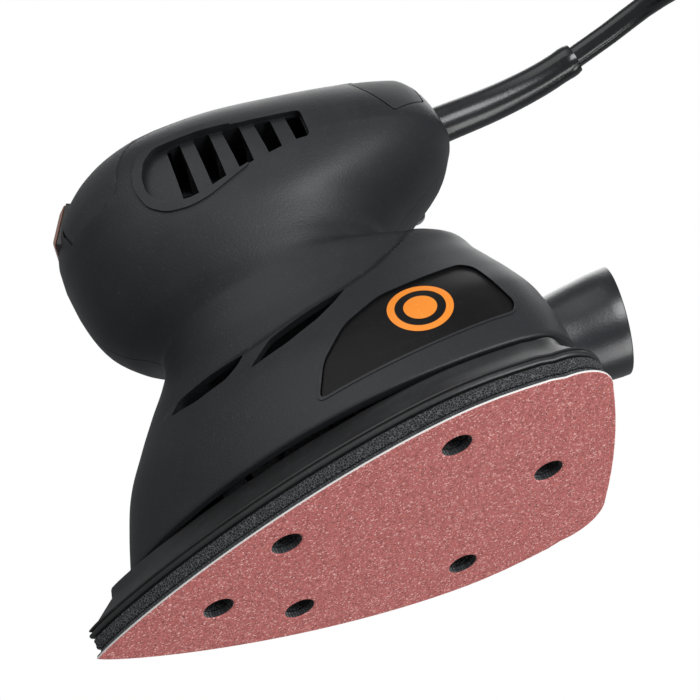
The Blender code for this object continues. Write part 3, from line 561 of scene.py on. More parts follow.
def flank(y, z):
    """Half width of the housing at a place on its side below the crown."""
    x, at = half_outline(z, 0.0)
    return float(np.interp(y, at[::-1], x[::-1]))


def thread_reach(y, z):
    """How far past the middle a case screw's hole runs, ending inside the far flank."""
    return min(14.0, flank(y, z) - 2.5)


def skin_patch(name, area, outer, inner):
    """The part of the housing's skin inside an area, between two depths."""
    patch = housing_form(name, outer)
    keep(patch, area)
    return cut(patch, housing_form("inner", inner, SKIRT_BOTTOM - 5))


def side_area(outline, side, near=16.0):
    """A (y, z) outline as a solid through one flank, from a distance off the middle."""
    return prism("area", outline, *sorted((side * near, side * FLANK_FAR)), axis="X")


def switch_block(name, half_width, half_height, inward, outward):
    """A block on the switch's slanted face, between two distances along its normal."""
    corners = ((-half_width, -half_height), (half_width, -half_height))
    corners += ((half_width, half_height), (-half_width, half_height))
    return on_switch_face(prism(name, rounded(corners, 1.0), inward, outward))


def on_switch_face(item):
    turn(item, math.pi / 2 - SWITCH_TILT, "X")
    return move(item, SWITCH_CENTRE)


def build_shell(groove, rim):
    """Both housing halves as one, with vents, recesses, rims, webs and bosses."""
    shell = housing_form("shell")
    shell.data.materials.append(finish("housing"))
    # Second slot: the lighter rim finish, a painted highlight for the label rims.
    shell.data.materials.append(finish("rim"))
    cut(shell, housing_form("cavity", WALL, SKIRT_BOTTOM - 5))
    solids = [box("web", (-50, near, low), (50, far, high)) for low, high, near, far in WEBS]
    solids += [rod("post boss", POST_BOSS_RADIUS, *POST_BOSS_Z, post) for post in POSTS]
    solids += [rod("screw boss", SCREW_BOSS_RADIUS, -50, 50, place, "X") for place in HOUSING_SCREWS]
    for solid in solids:
        join(shell, keep(housing_form("inside", INNER_INSET), solid))
    bores = [rod(*bore) for bore in BORES]
    bores += [
        rod("port hole", 13.4, 50, 70, (0, PORT_Z), "Y"), rod("lead hole", 5.9, 56, 72, (0, LEAD_Z), "Y"),
        rod("seat", 4.0, 30, 56, (0, LEAD_Z), "Y"), switch_block("mouth", 11.0, 7.6, -16, 12),
    ]
    for y, z in HOUSING_SCREWS:
        seat = flank(y, z) - SCREW_SINK
        bores.append(rod("thread", 1.8, -60, thread_reach(y, z), (y, z), "X", 24))
        bores.append(rod("counterbore", 3.8, -60, -seat, (y, z), "X"))
    cut(shell, *bores)
    raise_rims(shell, rim)
    for side in (1, -1):
        sink_area(shell, side_area(rounded(VENT, 1.6), side), VENT_DEPTH)
        for slot in VENT_SLOTS:
            cut(shell, side_area(rounded(slot, 0.7), side, 14.0))
        for intake in INTAKES:
            cut(shell, side_area(rounded(intake, 1.2), side, 10.0))
        area = side_area(rounded(grow(LABEL, GAP), 2.4), side)
        sink_area(shell, area, SKIN + LABEL_DEPTH + GAP, SKIRT_BOTTOM - 5)
    sink_area(shell, prism("area", rounded(grow(mirrored(GRIP), groove), 1.6), 108, 142), SKIN + groove)
    tail = prism("area", rounded(grow(TAIL_INLAY, groove), 1.2), -50, 50, axis="X")
    sink_area(shell, tail, SKIN + groove)
    return shell


def sink_area(shell, area, depth, bottom=SKIRT_BOTTOM):
    """Cut a recess of even depth into the housing's skin inside an area."""
    recess = keep(housing_form("recess", -1.0), area)
    cut(shell, cut(recess, housing_form("floor", depth, bottom)))


def raise_rims(shell, rim):
    """Narrow proud rims round the front of each vent and round each label; the label rims get a lighter
    finish, a painted highlight along their edge.
    """
    for side in (1, -1):
        join(shell, skin_patch("ring", side_area(rounded(VENT_RING, 2.2), side), -rim * 1.6, 1.0))
        edge = skin_patch("edge", side_area(rounded(grow(LABEL, 0.95), 3.0), side), -rim * 0.6, 1.0)
        edge.data.materials.append(finish("housing"))
        # The label rim takes the lighter rim finish, a painted highlight along its edge.
        edge.data.materials.append(finish("rim"))
        for face in edge.data.polygons:
            face.material_index = 1
        join(shell, edge)


class SANDER_OT_housing(bpy.types.Operator):
    """Build the two moulded halves of the housing"""
    bl_idname = "sander.housing"
    bl_label = "Housing halves"

    def execute(self, context):
        sizes = context.scene.sander_sizes
        shell = build_shell(sizes.groove / MM, sizes.rim / MM)
        for name, side, node in (("shell_left", 1, "housing_left"), ("shell_right", -1, "housing_right")):
            half = new_object(name, shell.data.copy())
            near, far = sorted((side * GAP / 3, -side * 60))
            cut(half, box("other half", (near, -100, 0), (far, 100, 160)))
            settle(half, finish("housing"), "housing", [node])
        bpy.data.objects.remove(shell, do_unlink=True)
        return {"FINISHED"}


class SANDER_OT_inlays(bpy.types.Operator):
    """Build the grip strip with its ridges, the tail inlay, the label plates and their printed rings"""
    bl_idname = "sander.inlays"
    bl_label = "Inlays and label plates"

    def execute(self, context):
        grip = skin_patch("grip_pad", prism("area", rounded(mirrored(GRIP), 1.4), 108, 142), -0.1, SKIN)
        for y in GRIP_RIDGES:
            for inset, proud in RIDGE_STEPS:
                half = RIDGE_HALF_WIDTH - inset
                front, rear = y + inset, y + RIDGE_LENGTH - inset
                corners = ((-half, front), (half, front), (half, rear), (-half, rear))
                area = prism("area", rounded(corners, 2.0), 112, 142)
                join(grip, skin_patch("ridge", area, -proud, SKIN * 0.5))
        settle(grip, finish("rubber"), "housing", ["grip_strip"])
        inlay = skin_patch("tail_pad", prism("area", rounded(TAIL_INLAY, 1.0), -50, 50, axis="X"), 0.05, SKIN)
        settle(inlay, finish("rubber"), "housing", ["tail_inlay"])
        for name, side in (("left", 1), ("right", -1)):
            area = side_area(rounded(LABEL, 2.2), side, 20.0)
            plate = skin_patch(f"flank_plate_{name}", area, LABEL_DEPTH, SKIN + LABEL_DEPTH)
            settle(plate, finish("label"), "housing", [f"label_plate_{name}"])
            for index, (outer, inner) in enumerate(BADGE_RINGS, 1):
                area = rod("area", outer, *sorted((side * 20, side * FLANK_FAR)), BADGE, "X", 64)
                if inner > 0.0:
                    cut(area, rod("eye", inner, -60, 60, BADGE, "X", 64))
                ring = skin_patch(f"badge_{name}_{index}", area, 0.42, 0.62)
                settle(ring, finish("badge"), "housing")
        return {"FINISHED"}


class SANDER_OT_switch(bpy.types.Operator):
    """Build the switch bezel and its clear boot, and finish the rocker under it"""
    bl_idname = "sander.switch"
    bl_label = "Switch"

    def execute(self, context):
        bezel = switch_block("bezel_ring", 10.7, 7.3, -3.0, 0.45)
        join(bezel, switch_block("lip", 10.3, 6.9, -2.0, 0.6))
        cut(bezel, switch_block("opening", 8.4, 5.4, -6, 3))
        settle(bezel, finish("satin"), "housing", ["switch_bezel"])
        outside = boot_form("clear_boot", 10.2, 6.9, 0.9, 3.0)
        cut(outside, boot_form("inside", 9.3, 6.0, 0.5, 2.4))
        settle(outside, finish("boot"), "housing", ["switch_boot"], angle=12.0)
        for node in ("switch_rocker", "switch_body"):
            repaint(node, "satin")
        return {"FINISHED"}


def boot_form(name, half_width, half_height, base, peak):
    """A low hipped roof with eased corners on the switch's face."""
    levels = (
        (1.0, 1.0, 0.0), (0.985, 0.98, 0.12), (0.84, 0.75, 0.6), (0.81, 0.70, 0.64), (0.57, 0.16, 0.98),
        (0.53, 0.10, 1.0),
    )
    rings = []
    for wide, high, up in levels:
        w, h = half_width * wide, half_height * high
        corners = rounded(((-w, -h), (w, -h), (w, h), (-w, h)), 0.8, 3)
        rings.append([(x, y, base + (peak - base) * up) for x, y in corners])
    return on_switch_face(loft(name, rings))


# ---------------------------------------------------------------- pad

def pad_outline(inset):
    """The pointed plan of the sanding sheet as (x, y) points, drawn in by inset."""
    steps = 44
    half = SHEET_WIDTH / 2 - inset
    widest = NOSE_Y + SHEET_LENGTH * 0.73
    nose = NOSE_Y + inset * 1.35
    right = []
    for step in range(steps + 1):
        reach = 1 - (step / steps) ** 1.15
        right.append((half * (1 - reach**1.62) ** (1 / 1.13), widest - (widest - nose) * reach))
    corner = 13.0 - min(inset, 8.0)
    tail = TAIL_Y - inset
    side = half * 0.925
    bow = 1.6
    right.append((half * 0.997, widest + (tail - corner - widest) * 0.25))
    right.append((half * 0.982, (widest + tail - corner) / 2))
    right.append((half * 0.958, widest + (tail - corner - widest) * 0.78))
    for step in range(15):
        angle = math.radians(90 * step / 14)
        across, along = corner * math.cos(angle), corner * math.sin(angle)
        right.append((side - corner + across, tail - bow - corner + along))
    for share, drop in ((0.75, 0.9), (0.5, 0.4), (0.25, 0.1)):
        right.append(((side - corner) * share, tail - drop))
    return right + [(0.0, tail)] + [(-x, y) for x, y in reversed(right) if x > 0.001]


def pad_slab(name, levels):
    """A solid with the pad's plan, drawn in at each (height, inset) level."""
    return loft(name, [[(x, y, height) for x, y in pad_outline(inset)] for height, inset in levels])


def pad_layer(name, levels):
    """A layer of the pad through (height, inset) levels, with the six dust holes."""
    layer = pad_slab(name, levels)
    for x, y in DUST_HOLES:
        cut(layer, rod("hole", DUST_HOLE_RADIUS, levels[0][0] - 1, levels[-1][0] + 1, (x, y)))
    return layer


def build_sheet():
    """Abrasive sheet: grit on its lower face, bare paper on its cut edges, hook cloth above."""
    levels = ((0.0, 0.3), (0.08, 0.1), (0.2, 0.0), (0.5, 0.0), (0.56, 0.12), (SHEET_TOP, 0.15))
    sheet = pad_layer("abrasive_sheet", levels)
    for x, y in DUST_HOLES:
        cut(sheet, loft("countersink", [
            [(a, b, height) for a, b in circle(radius, 48, (x, y))]
            for height, radius in ((-0.2, DUST_HOLE_RADIUS + 0.85), (0.25, DUST_HOLE_RADIUS - 0.1))]))
    looks = [finish("grit"), finish("paper"), finish("hook")]
    settle(sheet, looks, "pad", ["sanding_sheet"], angle=20.0)
    for face in sheet.data.polygons:
        if face.center.z > PAPER_TOP * MM:
            face.material_index = 2
        else:
            face.material_index = 0 if face.normal.z < -0.9 else 1


def build_platen():
    levels = (
        (FOAM_TOP + GAP, 0.75), (FOAM_TOP + GAP + 0.15, 0.35), (FOAM_TOP + GAP + 0.5, 0.2),
        (RIM_TOP - 1.45, 0.2), (RIM_TOP - 1.3, 0.3), (RIM_TOP - 1.1, 0.85), (RIM_TOP - 0.75, 0.9),
        (RIM_TOP - 0.5, 0.45), (RIM_TOP - 0.1, 0.45), (RIM_TOP + 0.15, 0.75), (RIM_TOP + 0.4, 1.7),
        (PLATEN_TOP - 1.2, 6.5), (PLATEN_TOP + 0.9, 6.9), (PLATEN_TOP + 1.5, 7.2), (PLATEN_TOP + 1.6, 7.6),
    )
    platen = pad_slab("backing_plate", levels)
    cut(platen, pad_slab("basin", ((8.9, 12), (20, 10.4))))
    join(platen, rod("hub", 14.0, 8.5, 19.4, (0, ORBIT)))
    for x, y in DUST_HOLES:
        join(platen, rod("sleeve", 5.6, 8.5, PLATEN_TOP - 1.5, (x, y)))
    for x, y in POSTS:
        join(platen, rod("socket", 6.0, 8.5, PLATEN_TOP, (x, y)))
    cut(platen, rod("pocket", BEARING_RADIUS + GAP, 11.4, 25, (0, ORBIT)))
    cut(platen, rod("relief", 6.5, 8.6, 25, (0, ORBIT)))
    for x, y in DUST_HOLES:
        cut(platen, rod("hole", DUST_HOLE_RADIUS, 0, 30, (x, y)))
    return platen


class SANDER_OT_pad(bpy.types.Operator):
    """Build the sanding sheet, hook face, foam and platen, and finish the rubber posts above it"""
    bl_idname = "sander.pad"
    bl_label = "Sanding pad"

    def execute(self, context):
        build_sheet()
        low = SHEET_TOP + GAP
        hook = pad_layer("hook_layer", ((low, 1.3), (low + 0.2, 1.1), (HOOK_TOP, 1.1)))
        settle(hook, finish("hook"), "pad", ["hook_face"])
        low = HOOK_TOP + GAP
        foam = pad_layer("foam_layer", (
            (low, 1.0), (low + 0.25, 0.75), (low + 0.8, 0.6), (low + 1.6, 0.72), (FOAM_TOP - 0.6, 0.6),
            (FOAM_TOP - 0.2, 0.75), (FOAM_TOP, 1.0)))
        settle(foam, finish("foam"), "pad", ["foam_pad"])
        settle(build_platen(), finish("platen"), "pad", ["platen"])
        for index in range(1, 5):
            repaint(f"rubber_post_{index}", "rubber")
        return {"FINISHED"}


# ---------------------------------------------------------------- rear fittings, screws and lead

class SANDER_OT_outlet(bpy.types.Operator):
    """Build the dust outlet tube"""
    bl_idname = "sander.outlet"
    bl_label = "Dust outlet"

    def execute(self, context):
        end = PORT_END_Y + 2
        port = turned("outlet_tube", (
            (14.6, end), (14.3, PORT_END_Y - 7), (13.65, 66.5), (13.0, 60.5), (13.0, 50.0),
            (11.4, 50.0), (11.6, 62.0), (12.7, PORT_END_Y - 6), (13.0, end)), 96)
        turn(port, -math.pi / 2, "X")
        move(port, (0, 0, PORT_Z))
        beyond = box("beyond", (-30, PORT_END_Y, -60), (30, PORT_END_Y + 30, 60))
        turn(beyond, -math.atan2(PORT_SLANT, 29.2), "X", (0.0, PORT_END_Y, 14.6))
        cut(port, move(beyond, (0, 0, PORT_Z)))
        ease_edges(port, 0.35)
        settle(port, finish("outlet"), "housing", ["dust_port"])
        return {"FINISHED"}


def ease_edges(item, width):
    """Round the sharp edges of a simple solid."""
    tidy(item)
    easing = item.modifiers.new("Ease", "BEVEL")
    easing.width = width * MM
    easing.segments = 3
    easing.limit_method = "ANGLE"
    easing.angle_limit = math.radians(50.0)
    easing.use_clamp_overlap = True
    bake(item)


class SANDER_OT_screws(bpy.types.Operator):
    """Build the housing screws with round heads and six-sided drives"""
    bl_idname = "sander.screws"
    bl_label = "Housing screws"

    def execute(self, context):
        for index, (y, z) in enumerate(HOUSING_SCREWS, 1):
            seat = -(flank(y, z) - SCREW_SINK) - GAP
            head = turned(f"case_screw_{index}", SCREW_HEAD, 48)
            cut(head, prism("drive", circle(1.5, 6), 0.9, 4.0))
            tip = thread_reach(y, z) - SCREW_SHANK_CLEARANCE
            join(head, rod("shank", 1.5, seat - tip, 0.5, sides=32))
            turn(head, -math.pi / 2, "Y")
            move(head, (seat, y, z))
            settle(head, finish("zinc"), "housing", [f"housing_screw_{index}"])
        return {"FINISHED"}


def lead_points():
    """Centreline of the whole lead, in mm: down to the bench, then the coil, then up on to it."""
    points = smooth_route(LEAD_ROUTE, 6.0)
    outer, middle, inner = COIL_RADII
    low, high = COIL_LOW, COIL_LOW + COIL_PITCH * COIL_TURN / 360
    above = high + LEAD_RADIUS * 2 + 0.4
    stages = (
        (COIL_TURN, outer, outer, low, high), (100.0, outer, middle, high, high),
        (COIL_TURN, middle, middle, high, low), (100.0, middle, inner, low, low),
        (COIL_TURN, inner, inner, low, high), (90.0, inner, inner, high, above),
        (90.0, inner, middle, above, above), (80.0, middle, middle, above, PLUG_CENTRE[2]),
    )
    start = COIL_START
    for sweep_angle, r0, r1, z0, z1 in stages:
        count = round(sweep_angle / 6)
        for step in range(count):
            share = step / count
            ease = share * share * (3 - 2 * share)
            height = z0 + (z1 - z0) * (share if sweep_angle > 300 else ease)
            radius = r0 + (r1 - r0) * ease
            angle = math.radians(start + sweep_angle * share)
            points.append((
                COIL_CENTRE[0] + radius * math.cos(angle), COIL_CENTRE[1] + radius * math.sin(angle), height))
        start += sweep_angle
    x, y, z = PLUG_CENTRE
    return points + [(x + 16.0, y, z), (x + 13.0, y, z)]


def build_relief():
    """Strain relief: stub and collar inside the handle, then the long tapered sleeve."""
    stub = [(0.0, y, LEAD_Z) for y in (38.0, 49.6, 50.0, 54.1, 54.3, 57.0, 57.2, 60.0)]
    stub_radii = [3.2, 3.2, 4.8, 4.8, 7.2, 7.2, 5.4, 5.4]
    sleeve = smooth_route(((0.0, 64.0, LEAD_Z), (0.4, 80.0, 113.5), (2.0, 94.0, 114.0), RELIEF_END), 1.4)
    radii = np.linspace(5.4, 4.45, len(sleeve)).tolist()
    radii[-4:] = [4.62, 4.72, 4.66, 4.3]
    return sweep("tapered_sleeve", stub + sleeve, stub_radii + radii)


def build_strap():
    """Hook and loop strap round the far side of the coil."""
    high = COIL_LOW + COIL_PITCH * COIL_TURN / 360 + LEAD_RADIUS
    middle = (high + COIL_LOW - LEAD_RADIUS) / 2
    rings = []
    for step in range(72):
        angle = 2 * math.pi * step / 72
        shares = [math.copysign(abs(s) ** 0.55, s) for s in (math.cos(angle), math.sin(angle))]
        ring = []
        for grown, along in ((0.35, -8.0), (1.25, -8.0), (1.25, 8.0), (0.35, 8.0)):
            ring.append((
                TIE_X + (10.3 + grown) * shares[0], COIL_CENTRE[1] + along,
                middle + (high - middle + grown - 0.05) * shares[1]))
        rings.append(ring)
    return loft("coil_strap", rings, loop=True)


def build_plug():
    """Moulded plug body, drawn with its blades toward +Y about its own centre."""
    x, y, z = PLUG_CENTRE
    spans = (
        (-15.0, 4.3, 4.3), (-14.6, 4.7, 4.7), (-12.0, 4.8, 4.8), (-11.7, 4.3, 4.3), (-11.0, 4.3, 4.3),
        (-10.7, 5.2, 5.1), (-8.4, 5.6, 5.4), (-8.1, 5.0, 4.9), (-7.4, 5.1, 5.0), (-7.1, 6.2, 5.8),
        (-4.6, 7.8, 6.4), (-2.0, 10.1, 7.1), (1.0, 11.2, 7.5), (5.0, 11.5, 7.6), (7.0, 11.3, 7.4),
        (7.8, 10.9, 7.1), (8.0, 10.4, 6.7),
    )
    rings = []
    for along, half_width, half_height in spans:
        ring = []
        for step in range(56):
            angle = 2 * math.pi * step / 56
            a, b = (math.copysign(abs(s) ** 0.8, s) for s in (math.cos(angle), math.sin(angle)))
            ring.append((x + half_width * a, y + along, z + half_height * b))
        rings.append(ring)
    return turn(loft("moulded_plug", rings), math.pi / 2, "Z", PLUG_CENTRE)


class SANDER_OT_lead(bpy.types.Operator):
    """Build the strain relief, the lead with its coil, the strap and the plug"""
    bl_idname = "sander.lead"
    bl_label = "Mains lead"

    def execute(self, context):
        width = context.scene.sander_sizes.lead_width
        relief = settle(build_relief(), finish("lead"), "housing", ["strain_relief"])
        points = lead_points()
        curve = bpy.data.curves.new("mains_lead", "CURVE")
        curve.dimensions = "3D"
        curve.bevel_depth = width / 2
        curve.bevel_resolution = 7
        curve.use_fill_caps = True
        spline = curve.splines.new("POLY")
        spline.points.add(len(points) - 1)
        for place, point in zip(spline.points, points):
            place.co = (*(Vector(point) * MM), 1.0)
        curve.materials.append(finish("lead"))
        lead = new_object("mains_lead", curve)
        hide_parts("cord", "cord_coil")
        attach(lead, "housing")
        strap = settle(build_strap(), finish("strap"), "housing", ["cord_tie"])
        plug = settle(build_plug(), finish("lead"), "housing", ["plug_body"])
        for index in (1, 2):
            repaint(f"plug_blade_{index}", "brass")
        return {"FINISHED"}


# ---------------------------------------------------------------- finishes

def feed(tree, value, socket):
    """Link a socket to a socket, or give it a plain value."""
    if isinstance(value, bpy.types.NodeSocket):
        tree.links.new(value, socket)
    else:
        socket.default_value = value


def add(tree, kind, inputs=None, **settings):
    """A shader node with its settings, and its inputs fed by value or by link."""
    made = tree.nodes.new(kind)
    for key, value in settings.items():
        setattr(made, key, value)
    for key, value in (inputs or {}).items():
        feed(tree, value, made.inputs[key])
    return made


def object_place(tree):
    return add(tree, "ShaderNodeTexCoord").outputs["Object"]


def math_node(tree, operation, first, second, clamp=False):
    return add(tree, "ShaderNodeMath", {0: first, 1: second}, operation=operation, use_clamp=clamp).outputs[0]


def times(tree, first, second, clamp=False):
    return math_node(tree, "MULTIPLY", first, second, clamp)


def plus(tree, first, second, clamp=False):
    return math_node(tree, "ADD", first, second, clamp)


def noise(tree, place, scale, detail=3.0, roughness=0.55):
    inputs = {"Vector": place, "Scale": scale, "Detail": detail, "Roughness": roughness}
    return add(tree, "ShaderNodeTexNoise", inputs).outputs["Fac"]


def ramp(tree, value, low, high):
    inputs = {"Value": value, "From Min": low, "From Max": high}
    return add(tree, "ShaderNodeMapRange", inputs, interpolation_type="SMOOTHSTEP").outputs["Result"]


def mix_colour(tree, factor, first, second):
    first, second = ((*value, 1.0) if isinstance(value, tuple) else value for value in (first, second))
    return add(tree, "ShaderNodeMix", {"Factor": factor, 6: first, 7: second}, data_type="RGBA").outputs[2]


def shade(colour, amount):
    return tuple(min(1.0, c * amount) for c in colour)


def fill_grain(group, source):
    """Fine moulded or stippled grain with a slower drift of tone."""
    place = object_place(group)
    cells = add(group, "ShaderNodeTexVoronoi", {"Vector": place, "Scale": source["Size"]}, feature="F1")
    fine = noise(group, place, times(group, source["Size"], 0.6), 2.0)
    return {
        "Height": plus(group, times(group, cells.outputs["Distance"], 0.6), times(group, fine, 0.5)),
        "Tone": noise(group, place, source["Drift"], 5.0, 0.6),
        "Speck": ramp(group, fine, 0.58, 0.78),
    }


def fill_wear_and_highlight(group, source):
    """Sharp edges found by pointiness, lightened as rubbed wear and as a painted highlight, broken up so that
    they never run on evenly.
    """
    edge = add(group, "ShaderNodeNewGeometry").outputs["Pointiness"]
    lifted = times(group, math_node(group, "SUBTRACT", edge, source["Start"]), 9.0, True)
    broken = ramp(group, noise(group, object_place(group), source["Breakup"], 4.0, 0.65), 0.35, 0.6)
    return {"Mask": times(group, lifted, broken, True)}


def fill_dust(group, source):
    """Thin dust in patches and stray specks, heavier where a face looks up."""
    place = object_place(group)
    patches = ramp(group, noise(group, place, source["Size"], 6.0, 0.7), 0.5, 0.78)
    specks = ramp(group, noise(group, place, 1400.0, 1.0), 0.74, 0.8)
    normal = add(group, "ShaderNodeNewGeometry").outputs["Normal"]
    upward = ramp(group, add(group, "ShaderNodeSeparateXYZ", {0: normal}).outputs["Z"], -0.4, 1.0)
    film = times(group, patches, plus(group, times(group, upward, 0.7), 0.3))
    return {"Mask": times(group, plus(group, film, specks, True), source["Amount"], True)}


def fill_scratch(group, source):
    """Hair-fine scratches or brushing drawn out along one direction."""
    stretch = add(group, "ShaderNodeCombineXYZ", {"X": 1.0, "Y": source["Stretch"], "Z": 1.0})
    scaled = add(group, "ShaderNodeVectorMath", {0: object_place(group), 1: stretch.outputs[0]},
                 operation="MULTIPLY")
    lines = noise(group, scaled.outputs[0], source["Size"], 2.0)
    return {"Height": lines, "Mask": ramp(group, lines, 0.55, 0.72)}


# Shared effects as name, inputs with their usual values, outputs and what fills them
EFFECTS = {
    "grain": ("Moulded grain", {"Size": 1800.0, "Drift": 25.0}, ("Height", "Tone", "Speck"), fill_grain),
    "wear": ("Edge wear", {"Start": 0.53, "Breakup": 260.0}, ("Mask",), fill_wear_and_highlight),
    "dust": ("Dust film", {"Amount": 0.3, "Size": 90.0}, ("Mask",), fill_dust),
    "scratch": ("Drawn scratches", {"Size": 900.0, "Stretch": 0.04}, ("Height", "Mask"), fill_scratch),
}
GROUPS = {}
FINISHES = {}


def make_group(name, inputs, outputs, fill):
    """A shared effect as a shader node group with named inputs and outputs."""
    group = bpy.data.node_groups.new(name, "ShaderNodeTree")
    for label, default in inputs.items():
        socket = group.interface.new_socket(label, in_out="INPUT", socket_type="NodeSocketFloat")
        socket.default_value = default
    for label in outputs:
        group.interface.new_socket(label, in_out="OUTPUT", socket_type="NodeSocketFloat")
    source = group.nodes.new("NodeGroupInput")
    sink = group.nodes.new("NodeGroupOutput")
    for label, value in fill(group, source.outputs).items():
        group.links.new(value, sink.inputs[label])
    return group


def place_group(tree, key, **values):
    """Set one of the shared effects into a material with its own values."""
    if key not in GROUPS:
        GROUPS[key] = make_group(*EFFECTS[key])
    made = add(tree, "ShaderNodeGroup", node_tree=GROUPS[key])
    for label, value in values.items():
        made.inputs[label].default_value = value
    return made


def moulding(name, colour, rough=(0.5, 0.62), grain=1800.0, depth=0.00006, wear=0.35, dust=0.25, lift=1.5,
             metallic=0.0, specular=0.5, sheen=0.0, scratch=None, strength=0.5, speck_lift=1.25, extra=None):
    """A material from the shared effects; extra may add this finish's own nodes."""
    made = bpy.data.materials.new(name)
    made.use_nodes = True
    tree = made.node_tree
    shader = tree.nodes["Principled BSDF"]
    for label, value in (("Metallic", metallic), ("Specular IOR Level", specular), ("Sheen Weight", sheen)):
        shader.inputs[label].default_value = value
    grains = place_group(tree, "grain", Size=grain, Drift=25.0).outputs
    tone = ramp(tree, grains["Tone"], 0.35, 0.7)
    base = mix_colour(tree, tone, shade(colour, 0.88), shade(colour, lift * 0.8))
    base = mix_colour(tree, grains["Speck"], base, shade(colour, lift * speck_lift))
    height = grains["Height"]
    if scratch:
        drawn = place_group(tree, "scratch", Size=scratch, Stretch=0.05).outputs
        height = plus(tree, height, times(tree, drawn["Height"], 0.8))
        base = mix_colour(tree, times(tree, drawn["Mask"], 0.35), base, shade(colour, lift * 1.3))
    # Edges are lightened by pointiness: partly rubbed wear, partly a painted highlight on the edges.
    wear_and_highlight = place_group(tree, "wear", Start=0.535, Breakup=240.0).outputs["Mask"]
    base = mix_colour(tree, times(tree, wear_and_highlight, wear), base, shade(colour, 4.5 if metallic < 0.5 else 1.6))
    film = place_group(tree, "dust", Amount=dust, Size=85.0).outputs["Mask"]
    base = mix_colour(tree, film, base, tuple(0.5 * c + 0.06 for c in colour))
    if extra:
        base, height = extra(tree, base, height)
    spread = add(tree, "ShaderNodeMapRange", {
        "Value": grains["Tone"], "From Min": 0.3, "From Max": 0.7, "To Min": rough[0], "To Max": rough[1]})
    dulled = plus(tree, spread.outputs["Result"], times(tree, film, 0.25), True)
    bump = add(tree, "ShaderNodeBump", {"Strength": strength, "Distance": depth, "Height": height})
    for label, value in (("Base Color", base), ("Roughness", dulled), ("Normal", bump.outputs["Normal"])):
        tree.links.new(value, shader.inputs[label])
    return made


def grit_grains(tree, _base, height):
    """Crystals of several reds, pinks and pale glints bonded close together."""
    cells = {"Vector": object_place(tree), "Scale": 2600.0}
    crystals = add(tree, "ShaderNodeTexVoronoi", cells, feature="F1")
    parts = add(tree, "ShaderNodeSeparateColor", {0: crystals.outputs["Color"]}).outputs
    colour = tuple(bpy.context.scene.sander_colours.grit)
    dark = mix_colour(tree, ramp(tree, parts["Red"], 0.0, 0.9), shade(colour, 0.72), shade(colour, 1.15))
    pale = mix_colour(tree, ramp(tree, parts["Green"], 0.84, 0.98), dark, (0.74, 0.40, 0.37))
    deep = mix_colour(tree, ramp(tree, parts["Blue"], 0.92, 1.0), pale, shade(colour, 0.4))
    return deep, plus(tree, times(tree, crystals.outputs["Distance"], -1.2), height)


def foam_cells(tree, base, height):
    """Open cells: dark pores with pale walls."""
    cells = add(tree, "ShaderNodeTexVoronoi", {"Vector": object_place(tree), "Scale": 1500.0},
                feature="DISTANCE_TO_EDGE")
    wall = ramp(tree, cells.outputs["Distance"], 0.16, 0.02)
    return mix_colour(tree, times(tree, wall, 0.6), base, (0.16, 0.165, 0.17)), plus(tree, height, wall)


def bands(tree, scale, distortion, detail=2.0, **settings):
    inputs = {"Vector": object_place(tree), "Scale": scale, "Distortion": distortion, "Detail": detail}
    return add(tree, "ShaderNodeTexWave", inputs, **settings).outputs["Fac"]


def weave(tree, base, height):
    """Crossed rows of a narrow woven band or hook cloth."""
    rows = [bands(tree, 420.0, 1.2, 1.0, wave_type="BANDS", bands_direction=axis) for axis in ("X", "Y")]
    crossed = times(tree, *rows)
    return mix_colour(tree, times(tree, crossed, 0.5), base, (0.13, 0.13, 0.135)), plus(tree, height, crossed)


def laminations(tree, base, height):
    """Stacked sheet steel seen edge on."""
    wave = bands(tree, 640.0, 0.3, wave_type="BANDS", bands_direction="Z")
    return mix_colour(tree, times(tree, wave, 0.5), base, (0.12, 0.12, 0.125)), plus(tree, height, wave)


def windings(tree, base, height):
    """Enamelled wire laid side by side."""
    wave = bands(tree, 700.0, 2.0, wave_type="RINGS", rings_direction="Z", wave_profile="SIN")
    return mix_colour(tree, times(tree, wave, 0.6), base, (0.9, 0.42, 0.18)), plus(tree, height, wave)


